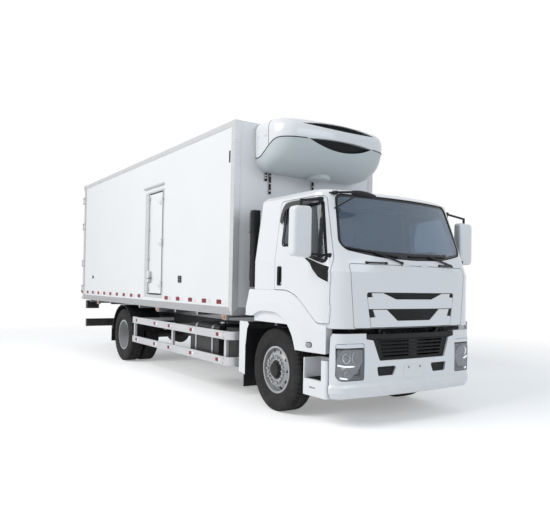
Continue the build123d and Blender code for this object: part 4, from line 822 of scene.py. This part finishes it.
# Look-down mirror: a drop-shaped shell on two stays
# each stay as rows of (station, Y, height from the brow) with its radius
STAYS = [([(1.215, -0.800, -0.028), (1.10, -0.865, -0.018), (0.95, -0.935, -0.008), (0.80, -1.010, -0.008)],
          0.0135),
         ([(1.205, -0.840, -0.045), (1.10, -0.893, -0.100), (1.00, -0.942, -0.152), (0.885, -0.998, -0.217)],
          0.009)]
piece = Piece("front_look_down_mirror", "cab", "black_plastic", "black_plastic", "mirror")
rings = []
for share in across(0, 1, 15):
    swell = (sin(pi * (0.06 + 0.90 * share)) ** 0.55) * (1 - 0.25 * share)
    middle = Vector((at(1.215), -0.970 + 0.36 * share, BROW - 0.040 - 0.014 * share))
    ring = []
    for k in range(20):
        turn = tau * k / 20
        drop = 0.010 if sin(turn) < -0.3 else 0
        ring.append(middle + Vector((0.045 * swell * cos(turn), 0, 0.036 * swell * sin(turn) - drop)))
    rings.append(ring)
piece.loft(rings)
for rows, radius in STAYS:
    piece.tube([Vector((at(x), y, BROW + z)) for x, y, z in rows], radius, 0, 12)
piece.turned((at(1.16), -0.832, BROW - 0.024), (-0.41, -0.21, 0.02), [(0.021, -0.03), (0.021, 0.03)], 0, 16)
piece.turned((at(0.912), -0.955, BROW - 0.009), (-0.41, -0.21, 0.0), [(0.024, -0.02), (0.024, 0.035)], 0, 16)
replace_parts(piece.done(50), "front_mirror")

# Dark shroud behind the bumper's mouth: plates beside and between the rails, and low ones over them
piece = Piece("radiator_shroud", "chassis", "black_plastic", "black_plastic")
for near, far in ((-0.82, -0.434), (-0.336, 0.336), (0.434, 0.82)):
    piece.block((at(0.984), near, 0.62), (at(0.998), far, 1.112))
    for y in across(near + 0.05, far - 0.05, 4):
        piece.block((at(0.996), y - 0.006, 0.64), (at(1.008), y + 0.006, 1.065))
for side in (-1, 1):
    piece.block((at(0.984), side * 0.334, 0.989), (at(0.998), side * 0.436, 1.112))
piece.done()

# Step treads
piece = Piece("step_treads", "chassis", "alloy", "alloy", "rubber")
for side in (-1, 1):
    piece.block((at(0.697), side * 0.96, 0.5245), (at(1.0), side * 1.186, 0.5285), 0.001, 0)
    for n in range(9):
        x = at(0.72) + n * 0.032
        piece.block((x - 0.006, side * 0.972, 0.527), (x + 0.006, side * 1.178, 0.5335), 0.002, 1)
piece.done()

# Box sides: reflective tape, rivets, marker lamps, clips under the base rail
wall_skins = {-1: skin("box_wall_right", "box_trim", "side_door_frame", "rear_portal"),
              1: skin("box_wall_left", "box_trim", "rear_portal")}
TAPE_STATIONS = [-8.19, -7.77, -7.36, -6.94, -6.52, -6.11, -5.69, -5.27, -4.85, -4.43, -3.15, -2.68, -2.21,
                 -1.73,
                 -1.26]
piece = Piece("reflective_tape", "chassis", "white_panel", "tape_red", "tape_white")
for side in (-1, 1):
    for station in TAPE_STATIONS:
        for start, end, finish in ((-0.085, 0.060, 0), (0.062, 0.205, 1)):
            x0, x1 = at(station + start), at(station + end)
            if x1 <= BOX_FRONT - 0.10:
                strip = panel(x0, 1.305, x1, 1.368, 0.004, 2, 20)
                piece.patch(SIDES[side], wall_skins[side], strip, [(0.0, 0.0012), (0.001, 0.0016)], finish,
                            0.002)
piece.done()

RIVET = (0.0075, 0.004, 0, 8)
piece = Piece("box_rivets", "chassis", "alloy", "alloy")
for side in (-1, 1):
    out = Vector((0, side, 0))
    face = side * BOX_HALF
    for n in range(46):
        for z in (BOX_LOW + 0.088, BOX_LOW + 0.022, BOX_TOP - 0.060):
            piece.dome((BOX_FRONT - 0.13 - n * 0.153, face, z), out, *RIVET)
    for n in range(17):
        z = BOX_LOW + 0.16 + n * 0.150
        for x in (BOX_FRONT - 0.078, BOX_FRONT - 0.012):
            piece.dome((x, face, z), out, *RIVET)
        piece.dome((BOX_FRONT + 0.006, side * (BOX_HALF - 0.075), z), (1, 0, 0), *RIVET)
for n in range(20):
    piece.dome((BOX_FRONT + 0.006, -1.14 + n * 0.12, BOX_LOW + 0.085), (1, 0, 0), *RIVET)
piece.done()

piece = Piece("box_side_lamps", "chassis", "lamp", "black_plastic", "red_lens", "steel", "amber_lens")
for side in (-1, 1):
    view, tree = SIDES[side], wall_skins[side]
    for station, z, half, tall in ((-2.62, 1.655, 0.060, 0.056), (-7.37, 1.690, 0.032, 0.030)):
        x = at(station)
        border = panel(x - half, z - tall, x + half, z + tall, 0.008, 3, 32)
        piece.patch(view, tree, border, [(0.0, 0.010), (0.004, 0.014), (0.012, 0.014), (0.014, 0.009)], 0)
        for k in range(3):
            bar = level_row(x - half * 0.7, x + half * 0.7, z - tall * 0.55 + k * tall * 0.55, 5)
            piece.tube(view.lay(tree, bar, 0.010), 0.004, 2, 6)
    for station in (-7.0, -3.54, -1.11):
        x = at(station)
        piece.block((x - 0.045, side * 1.225, 1.085), (x + 0.045, side * 1.282, 1.158), 0.006, 2)
        piece.block((x - 0.030, side * 1.276, 1.095), (x + 0.030, side * 1.290, 1.148), 0.004, 3)
    post = panel(BOX_FRONT - 0.150, 3.30, BOX_FRONT - 0.128, 3.47, 0.006, 3, 24)
    piece.patch(view, tree, post, [(0.0, 0.008), (0.003, 0.011)], 0)
piece.done()

# Guard reflectors and bolts
guard_skin = skin("side_guards")
piece = Piece("guard_reflectors", "chassis", "lamp", "tape_red", "tape_white", "steel")
for side in (-1, 1):
    for z in (0.504, 0.866):
        for station in (-4.55, -3.66, -3.03, -2.18, -1.30):
            x = at(station)
            for start, end, finish in ((-0.085, 0.0, 0), (0.002, 0.075, 1)):
                strip = panel(x + start, z - 0.026, x + end, z + 0.026, 0.004, 2, 20)
                piece.patch(SIDES[side], guard_skin, strip, [(0.0, 0.0014), (0.001, 0.002)], finish, 0.002)
        for station in (-4.77, -2.99, -1.15):
            for shift in (-0.032, 0.032):
                piece.bolt((at(station), side * 1.262, z + shift), (0, side, 0), 0.009, 0.010, 2)
piece.done()

# Side door: seal, handle plate, lock rod and hinge rivets
DOOR_X0, DOOR_X1, DOOR_Z0, DOOR_Z1 = at(-4.01), at(-3.37), BOX_LOW + 0.23, BOX_TOP - 0.69
piece = Piece("side_door_fittings", "side_door", "steel", "steel", "rubber", "black_plastic")
edge = panel(DOOR_X0, DOOR_Z0, DOOR_X1, DOOR_Z1, 0.004, 2, 120)
piece.band(SIDES[-1], skin("side_door"), drawn_in(edge, 0.001), drawn_in(edge, 0.013), 0.0035, 1)
rod_x = DOOR_X0 + 0.055
piece.tube([Vector((rod_x, -1.309, z)) for z in across(DOOR_Z0 + 0.03, DOOR_Z1 - 0.03, 12)], 0.011, 0, 12)
for z in (DOOR_Z0 + 0.09, DOOR_Z0 + 0.62, DOOR_Z0 + 1.15, DOOR_Z1 - 0.09):
    piece.block((rod_x - 0.028, -1.316, z - 0.022), (rod_x + 0.028, -1.289, z + 0.022))
plate = panel(DOOR_X0 + 0.03, 1.585, DOOR_X0 + 0.205, 1.790, 0.02, 4)
piece.loft([beside(-1.289, plate), beside(-1.295, plate), beside(-1.297, drawn_in(plate, 0.003))])
lever = [(0, -1.322, 1.655), (0.06, -1.330, 1.662), (0.15, -1.330, 1.672), (0.19, -1.322, 1.678)]
piece.tube([Vector((rod_x + x, y, z)) for x, y, z in lever], 0.011, 2, 10, flat=0.6)
for z in (DOOR_Z0 + 0.165, (DOOR_Z0 + DOOR_Z1) / 2 - 0.005, DOOR_Z1 - 0.18):
    for x, shift in ((0.065, 0.012), (0.065, -0.012), (0.135, 0.012), (0.135, -0.012)):
        piece.dome((DOOR_X1 - x, -1.318, z + shift), (0, -1, 0), 0.006, 0.004, 0, 8)
piece.done()

# Rear doors: seals, keepers, handle grips; tail lamps on the underrun bar's boxes
for side in (-1, 1):
    hand = HAND[side]
    piece = Piece(f"rear_door_fittings_{hand}", f"rear_door_{hand}", "rubber", "rubber", "steel",
                  "black_plastic")
    low, high = BOX_LOW + 0.070, BOX_TOP - 0.090
    edge = panel(side * 0.009, low, side * 1.284, high, 0.004, 2)
    inner = drawn_in(edge, 0.020)
    piece.loft([[Vector((BOX_REAR + x, p.x, p.y)) for p in line]
                for x, line in ((0.004, edge), (-0.004, edge), (-0.006, inner), (0.004, inner))], 0,
                loop=True)
    grip = low + 0.4775
    for y in (0.33, 0.96):
        for z in (low + 0.045, high - 0.045):
            piece.block((BOX_REAR - 0.058, side * y - 0.03, z - 0.03),
                        (BOX_REAR - 0.022, side * y + 0.03, z + 0.03), 0.008, 1)
        reach = across(side * (y - 0.10), side * (y - 0.25), 5)
        piece.tube([Vector((BOX_REAR - 0.056, v, grip)) for v in reach], 0.019, 2, 12)
        piece.block((BOX_REAR - 0.052, side * (y - 0.20) - 0.03, grip - 0.06),
                    (BOX_REAR - 0.0005, side * (y - 0.20) + 0.03, grip - 0.022), 0.006, 1)
        for z in (low + 0.12, low + 0.67, high - 1.29, high - 0.12):
            for shift in (-0.028, 0.028):
                piece.bolt((BOX_REAR - 0.038, side * y + shift, z), (-1, 0, 0), 0.006, 0.007, 1)
    for z in (low + 0.19, low + 0.79, high - 0.89, high - 0.27):
        for y in (1.21, 1.15, 1.09, 1.045):
            piece.bolt((BOX_REAR - 0.031, side * y, z), (-1, 0, 0), 0.008, 0.009, 1)
    piece.done()

piece = Piece("tail_lamps", "chassis", "lamp", "red_lens", "amber_lens", "pale_lens", "black_plastic",
              "steel")
lamp_x = BOX_REAR + 0.04
for side in (-1, 1):
    for inner, outer, finish in ((0.935, 1.010, 2), (1.015, 1.095, 0), (1.100, 1.185, 1)):
        pane = panel(side * inner, 0.965, side * outer, 1.105, 0.012, 3)
        piece.loft([facing(lamp_x + 0.004, pane), facing(lamp_x - 0.008, pane),
                    facing(lamp_x - 0.013, drawn_in(pane, 0.006)),
                    facing(lamp_x - 0.015, drawn_in(pane, 0.02))],
                   finish)
    for y in (0.928, 1.192):
        for z in (0.952, 1.118):
            piece.bolt((lamp_x, side * y, z), (-1, 0, 0), 0.005, 0.006, 4)
piece.done()

# Refrigeration unit: slats in its openings, a dark seal along the S-shaped joint, seams and hose clamps
grille_skin = skin("unit_grilles")
piece = Piece("unit_slats", "chassis", "black_plastic", "black_plastic")
for rise in (0.578, 0.592, 0.606, 0.620, 0.300, 0.322, 0.344, 0.366, 0.386):
    slat = level_row(-0.64, 0.64, UNIT_LOW + rise, 81)
    seen = [p for p in slat if grille_skin.ray_cast(FRONT.start(p), FRONT.way)[3] is not None][1:-1]
    if len(seen) > 4:
        piece.tube(FRONT.lay(grille_skin, seen, 0.004), 0.0065, 0, 8, flat=0.7)
piece.done()

unit_skin = skin("unit_cover", "unit_belly")
SEAM = rounded([(BOX_FRONT - 0.4, UNIT_LOW + 0.184, 0), (BOX_FRONT + 0.14, UNIT_LOW + 0.184, 0.3),
                (BOX_FRONT + 0.52, UNIT_LOW + 0.395, 0.3), (AXLE_X + 0.5, UNIT_LOW + 0.395, 0)], closed=False,
                arc=12)


def seam_height(x):
    for a, b in zip(SEAM, SEAM[1:]):
        if a.x <= x <= b.x:
            return a.y + (b.y - a.y) * (x - a.x) / max(b.x - a.x, 1e-9)
    return SEAM[-1].y


# The joint's line is found by rays from the box's front, each settled on the seam's height where it lands
hub = Vector((BOX_FRONT + 0.02, 0, 0))
line = []
for turn in across(-pi / 2, pi / 2, 121):
    way = Vector((cos(turn), sin(turn), 0))
    level = UNIT_LOW + 0.3
    for _ in range(4):
        hit = unit_skin.ray_cast(hub + way * 3 + Vector((0, 0, level)), -way)[0]
        if hit is None:
            break
        level = seam_height(hit.x)
    if hit is not None and not (abs(hit.y) < 0.575 and hit.x > BOX_FRONT + 0.6):
        line.append(hit)
piece = Piece("unit_seams", "chassis", "rubber", "rubber", "steel", "white_paint")
for run in ([p for p in line if p.y < -0.3], [p for p in line if p.y > 0.3]):
    piece.tube(run, 0.0065, 0, 8)
for side in (-1, 1):
    view = SIDES[side]
    for x in (BOX_FRONT + 0.02, BOX_FRONT + 0.36):
        rise = [Vector((x, z)) for z in across(seam_height(x) + 0.004, UNIT_LOW + 0.655, 24)]
        piece.tube(view.lay(unit_skin, rise), 0.0035, 0, 6)
    for x in (BOX_FRONT + 0.10, BOX_FRONT + 0.28):
        latch = panel(x - 0.03, UNIT_LOW + 0.45, x + 0.03, UNIT_LOW + 0.475, 0.006, 3)
        piece.patch(view, unit_skin, latch, [(0.0, 0.003), (0.003, 0.006)], 2)
hose_x = BOX_FRONT + 0.020
for y, drop in ((-0.780, 0.100), (-0.710, 0.280), (0.060, 0.210)):
    for z in across(UNIT_LOW - drop + 0.03, UNIT_LOW - 0.035, 3 if drop > 0.15 else 2):
        piece.turned((hose_x, y, z), (0, 0, 1), [(0.0185, -0.008), (0.0205, 0), (0.0185, 0.008)], 1, 18)
        piece.block((BOX_FRONT + 0.0005, y - 0.030, z - 0.006), (BOX_FRONT + 0.006, y + 0.030, z + 0.006),
                    0.002, 1)
    piece.turned((hose_x, y, UNIT_LOW - drop), (0, 0, 1), [(0.0175, -0.012), (0.0175, 0.02)], 0, 18)
piece.done()

# Tank straps and tank cap under the body
piece = Piece("tank_straps", "chassis", "steel", "steel", "rubber")
section = panel(-0.443, 0.45, -1.150, 0.98, 0.06, 5)
inner = spread(drawn_in(section, 0.001), 60)
for station in (-2.25, -1.70):
    for finish, grow, half in ((1, 0.003, 0.030), (0, 0.006, 0.022)):
        ring = spread(drawn_in(section, -grow), 60)
        x0, x1 = at(station) - half, at(station) + half
        piece.loft([[Vector((x, p.x, p.y)) for x, p in ((x0, a), (x1, a), (x1, b), (x0, b))]
                    for a, b in zip(ring, inner)], finish, loop=True)
piece.turned((at(-1.62), -1.0, 1.010), (0, 0, 1),
             [(0.053, -0.012), (0.055, 0), (0.053, 0.012), (0.03, 0.016), (0, 0.016)], 0, 24)
piece.done()

piece = Piece("air_intake_louvres", "chassis", "black_plastic", "black_plastic")
for n in range(9):
    z = 2.30 + n * 0.032
    piece.block((at(-0.668), -1.171, z - 0.006), (at(-0.54), -1.150, z + 0.006))
    piece.block((at(-0.668), -1.160, z - 0.006), (at(-0.656), -1.056, z + 0.006))
piece.done()

# Cab inside: instrument hood, displays, vents, gear lever and sun visors
piece = Piece("dash_fittings", "cab", "interior_grey", "interior_grey", "black_plastic", "smoke", "alloy")
hood = [Vector((at(0.70 + 0.10 * (1 - b ** 2)), 0.56 + 0.22 * b, DECK + 0.655 + 0.05 * (1 - b ** 4)))
        for b in across(-1, 1, 13)]
piece.tube(hood, 0.022, 0, 10)
piece.block((at(0.632), 0.40, DECK + 0.50), (at(0.66), 0.72, DECK + 0.60), 0.02, 2)
piece.block((at(0.630), -0.20, DECK + 0.43), (at(0.655), 0.14, DECK + 0.555), 0.012, 2)
for y in (-0.82, -0.42, 0.24, 0.86):
    piece.block((at(0.632), y - 0.075, DECK + 0.462), (at(0.65), y + 0.075, DECK + 0.548), 0.012, 1)
    for n in range(4):
        z = DECK + 0.477 + n * 0.019
        piece.block((at(0.627), y - 0.062, z - 0.003), (at(0.645), y + 0.062, z + 0.003), 0.002, 3)
piece.block((at(0.632), -0.86, DECK + 0.33), (at(0.650), -0.34, DECK + 0.44), 0.012, 0)
lever = [Vector((at(x), y, DECK + z))
         for x, y, z in ((0.66, 0.16, 0.30), (0.58, 0.17, 0.36), (0.53, 0.18, 0.42))]
piece.tube(lever, 0.011, 1, 10)
piece.turned(lever[-1], (-0.4, 0.1, 0.9), [(0.014, -0.01), (0.026, 0.02), (0.024, 0.045), (0.01, 0.058),
                                           (0, 0.06)],
             1, 16)
for y in (-0.52, 0.52):
    piece.block((at(0.72), y - 0.26, BROW - 0.14), (at(0.86), y + 0.26, BROW - 0.115), 0.01, 0,
                Matrix.Rotation(radians(16), 4, "Y"))
piece.block((at(0.845), -0.11, BROW - 0.19), (at(0.87), 0.11, BROW - 0.12), 0.012, 1)
piece.done()

# Padded seats: cloth swollen by pressure from a smaller pad, then sewn channels pressed in
# each pad's side outline as rows of (station, height over the deck, corner radius), and its half width
PADS = {
    "cushion": ([(-0.335, 0.172, 0.03), (-0.335, 0.322, 0.04), (0.125, 0.336, 0.06), (0.172, 0.298, 0.05),
                 (0.172, 0.172, 0.035)], 0.236),
    "back": ([(-0.412, 0.318, 0.03), (-0.412, 0.980, 0.04), (-0.348, 0.980, 0.03), (-0.240, 0.385, 0.05),
              (-0.240, 0.318, 0.03)], 0.226),
    "headrest": ([(-0.410, 1.000, 0.02), (-0.405, 1.182, 0.03), (-0.355, 1.182, 0.03), (-0.346, 1.000, 0.02)],
                 0.118),
}
SEAT_Y = 0.56
PAD_GRID = 0.014
SWELL = 0.010
CHANNEL = 0.009
# places of the channels along Y, then those across, with the axis they are measured on
CHANNELS = {
    "cushion": ((-0.135, 0.135), [at(x) for x in (-0.20, -0.06, 0.08)], 0),
    "back": ((-0.135, 0.135), [DECK + z for z in (0.50, 0.63, 0.76, 0.89)], 2),
}


def evaluated(pad):
    """The mesh of an object with its modifiers applied."""
    return bpy.data.meshes.new_from_object(pad.evaluated_get(bpy.context.evaluated_depsgraph_get()))


def pad_mesh(name, outline, half):
    """A pad's mesh about the seat's middle line, puffed up by a short cloth run."""
    part = bmesh.new()
    line = spread([Vector((at(p.x), DECK + p.y)) for p in rounded(outline, arc=4)], 64)
    rows = []
    for y, inset in ((-half, 0.022), (-half + 0.008, 0.008), (-half + 0.03, 0.0), (0, -0.004),
                     (half - 0.03, 0.0),
                     (half - 0.008, 0.008), (half, 0.022)):
        rows.append([part.verts.new((p.x, y, p.y)) for p in drawn_in(line, inset)])
    for a, b in zip(rows, rows[1:]):
        for i in range(64):
            j = (i + 1) % 64
            part.faces.new((a[i], a[j], b[j], b[i]))
    part.faces.new(rows[0])
    part.faces.new(rows[-1])
    bmesh.ops.recalc_face_normals(part, faces=part.faces[:])
    mesh = bpy.data.meshes.new(name)
    part.to_mesh(mesh)
    part.free()
    pad = bpy.data.objects.new(name, mesh)
    scene.collection.objects.link(pad)
    bpy.context.view_layer.objects.active = pad
    remesh = pad.modifiers.new("remesh", "REMESH")
    remesh.mode = "VOXEL"
    remesh.voxel_size = PAD_GRID
    bpy.context.view_layer.update()
    solid = evaluated(pad)
    pad.modifiers.clear()
    pad.data = solid
    rest = [v.co.copy() for v in solid.vertices]
    soft = pad.modifiers.new("cloth", "CLOTH")
    soft.settings.use_pressure = True
    soft.settings.uniform_pressure_force = 4
    soft.settings.effector_weights.gravity = 0
    soft.settings.quality = 4
    soft.point_cache.frame_end = 20
    for step in range(1, 21):
        scene.frame_set(step)
    puffed = evaluated(pad)
    pad.modifiers.clear()
    for v, was in zip(puffed.vertices, rest):
        move = v.co - was
        if move.length > SWELL:
            v.co = was + move.normalized() * SWELL
    pad.data = puffed
    scene.frame_set(1)
    subdivide = pad.modifiers.new("subdivide", "SUBSURF")
    subdivide.levels = 1
    subdivide.render_levels = 1
    bpy.context.view_layer.update()
    final = evaluated(pad)
    bpy.data.objects.remove(pad)
    return final


def press_channels(mesh, along_y, cross, axis):
    """Presses sewn channels into a pad: lines at fixed Y, and lines across at fixed places."""
    for v in mesh.vertices:
        gaps = [v.co.y - y for y in along_y] + [v.co[axis] - c for c in cross]
        v.co -= v.normal * CHANNEL * max(exp(-(gap / CHANNEL) ** 2) for gap in gaps)


for name, (outline, half) in PADS.items():
    mesh = pad_mesh(f"seat_{name}", outline, half)
    if name in CHANNELS:
        press_channels(mesh, *CHANNELS[name])
    mesh.materials.clear()
    mesh.materials.append(M["seat_cloth"])
    mesh.shade_smooth()
    for side in (-1, 1):
        own = mesh.copy()
        own.transform(Matrix.Translation((0, side * SEAT_Y, 0)))
        pad = bpy.data.objects.new(f"seat_{name}_{HAND[side]}", own)
        scene.collection.objects.link(pad)
        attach(pad, "cab")
        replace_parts(pad, "cab_seats")

piece = Piece("seat_bases", "cab", "interior_grey", "interior_grey", "black_plastic", "steel")
for side in (-1, 1):
    y = side * SEAT_Y
    piece.block((at(-0.29), y - 0.19, DECK + 0.001), (at(0.13), y + 0.19, DECK + 0.165), 0.02, 0)
    for x in (-0.24, 0.08):
        piece.block((at(x - 0.03), y - 0.198, DECK + 0.0005), (at(x + 0.03), y + 0.198, DECK + 0.03), 0.008,
                    1)
    for shift in (-0.06, 0.06):
        stem = [Vector((at(x), y + shift, DECK + z)) for x, z in ((-0.38, 0.96), (-0.381, 1.03))]
        piece.tube(stem, 0.007, 2, 8)
    rail = ((-0.30, 0.235, 0.20), (-0.05, 0.242, 0.205), (0.10, 0.235, 0.20))
    piece.tube([Vector((at(x), y - out, DECK + z)) for x, out, z in rail], 0.008, 1, 8)
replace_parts(piece.done(), "cab_seats")

# Camera, fitted to the photograph's perspective
SENSOR = 36
PHOTO_WIDTH = 550  # pixels, the unit of the fitted focal length and shifts
YAW, PITCH, ROLL = radians(146.177), radians(0.749), radians(1.119)
ahead = Vector((cos(YAW) * cos(PITCH), sin(YAW) * cos(PITCH), sin(PITCH)))
level = ahead.cross(Vector((0, 0, 1))).normalized()
upright = level.cross(ahead)
right = level * cos(ROLL) + upright * sin(ROLL)
up = upright * cos(ROLL) - level * sin(ROLL)
camera_data = bpy.data.cameras.new("camera")
camera_data.sensor_fit = "HORIZONTAL"
camera_data.sensor_width = SENSOR
camera_data.lens = 586.58 / PHOTO_WIDTH * SENSOR
camera_data.shift_x = -1.63 / PHOTO_WIDTH
camera_data.shift_y = 14.63 / PHOTO_WIDTH
camera_data.clip_end = 400
camera = bpy.data.objects.new("camera", camera_data)
scene.collection.objects.link(camera)
turn = Matrix((right, up, -ahead)).transposed().to_4x4()
camera.matrix_world = Matrix.Translation((AXLE_X + 6.184, -5.289, 1.603)) @ turn
scene.camera = camera


# Stage: a pale floor that keeps the shadow and thins out into a white world, and soft lamps
def shows_background(tree):
    """1 on rays that show the background: from the camera, in reflections and through glass."""
    path = tree.nodes.new("ShaderNodeLightPath")
    seen = combine(tree, path.outputs["Is Camera Ray"], path.outputs["Is Transmission Ray"], "MAXIMUM")
    return combine(tree, seen, path.outputs["Is Glossy Ray"], "MAXIMUM")


world = bpy.data.worlds.new("studio")
scene.world = world
world.use_nodes = True
tree = world.node_tree
background = tree.nodes["Background"]
background.inputs["Color"].default_value = (0.88, 0.94, 1.0, 1)
background.inputs["Strength"].default_value = 0.50
white = tree.nodes.new("ShaderNodeBackground")
white.inputs["Color"].default_value = (1, 1, 1, 1)
white.inputs["Strength"].default_value = 1.0
blend = tree.nodes.new("ShaderNodeMixShader")
link(tree, shows_background(tree), blend.inputs["Fac"])
link(tree, background.outputs["Background"], blend.inputs[1])
link(tree, white.outputs["Background"], blend.inputs[2])
link(tree, blend.outputs["Shader"], tree.nodes["World Output"].inputs["Surface"])

floor_mesh = bpy.data.meshes.new("floor")
floor_mesh.from_pydata([(-40, -40, 0), (40, -40, 0), (40, 40, 0), (-40, 40, 0)], [], [(0, 1, 2, 3)])
floor = bpy.data.objects.new("floor", floor_mesh)
scene.collection.objects.link(floor)
mat, tree, shader = new_material("floor")
tone = mix(tree, noise(tree, 0.6, 3), (0.93, 0.93, 0.93), (0.955, 0.955, 0.955))
link(tree, tone, shader.inputs["Base Color"])
shader.inputs["Roughness"].default_value = 0.9
shader.inputs["Specular IOR Level"].default_value = 0.0
coord = tree.nodes.new("ShaderNodeTexCoord")
distance = tree.nodes.new("ShaderNodeVectorMath")
distance.operation = "LENGTH"
link(tree, coord.outputs["Object"], distance.inputs[0])
clear = tree.nodes.new("ShaderNodeBsdfTransparent")
blend = tree.nodes.new("ShaderNodeMixShader")
link(tree, ramp(tree, distance.outputs["Value"], 6.0, 12.0, 0.0, 1.0), blend.inputs["Fac"])
lift = tree.nodes.new("ShaderNodeEmission")
link(tree, ramp(tree, shows_background(tree), 0, 1, 0, 0.30), lift.inputs["Strength"])
whole = tree.nodes.new("ShaderNodeAddShader")
link(tree, shader.outputs["BSDF"], whole.inputs[0])
link(tree, lift.outputs["Emission"], whole.inputs[1])
link(tree, whole.outputs["Shader"], blend.inputs[1])
link(tree, clear.outputs["BSDF"], blend.inputs[2])
link(tree, blend.outputs["Shader"], tree.nodes["Material Output"].inputs["Surface"])
floor_mesh.materials.append(mat)


def area_lamp(name, place, target, size, energy, colour):
    data = bpy.data.lights.new(name, "AREA")
    data.shape = "RECTANGLE"
    data.size, data.size_y = size
    data.energy = energy
    data.color = colour
    lamp = bpy.data.objects.new(name, data)
    scene.collection.objects.link(lamp)
    lamp.location = place
    lamp.rotation_euler = (Vector(target) - Vector(place)).to_track_quat("-Z", "Y").to_euler()


area_lamp("key", (2, -13, 11), (0, 0, 1.5), (10, 8), 1450, (1, 0.985, 0.96))
area_lamp("front", (16, 3, 7), (3, 0, 1.8), (7, 6), 330, (0.84, 0.93, 1))
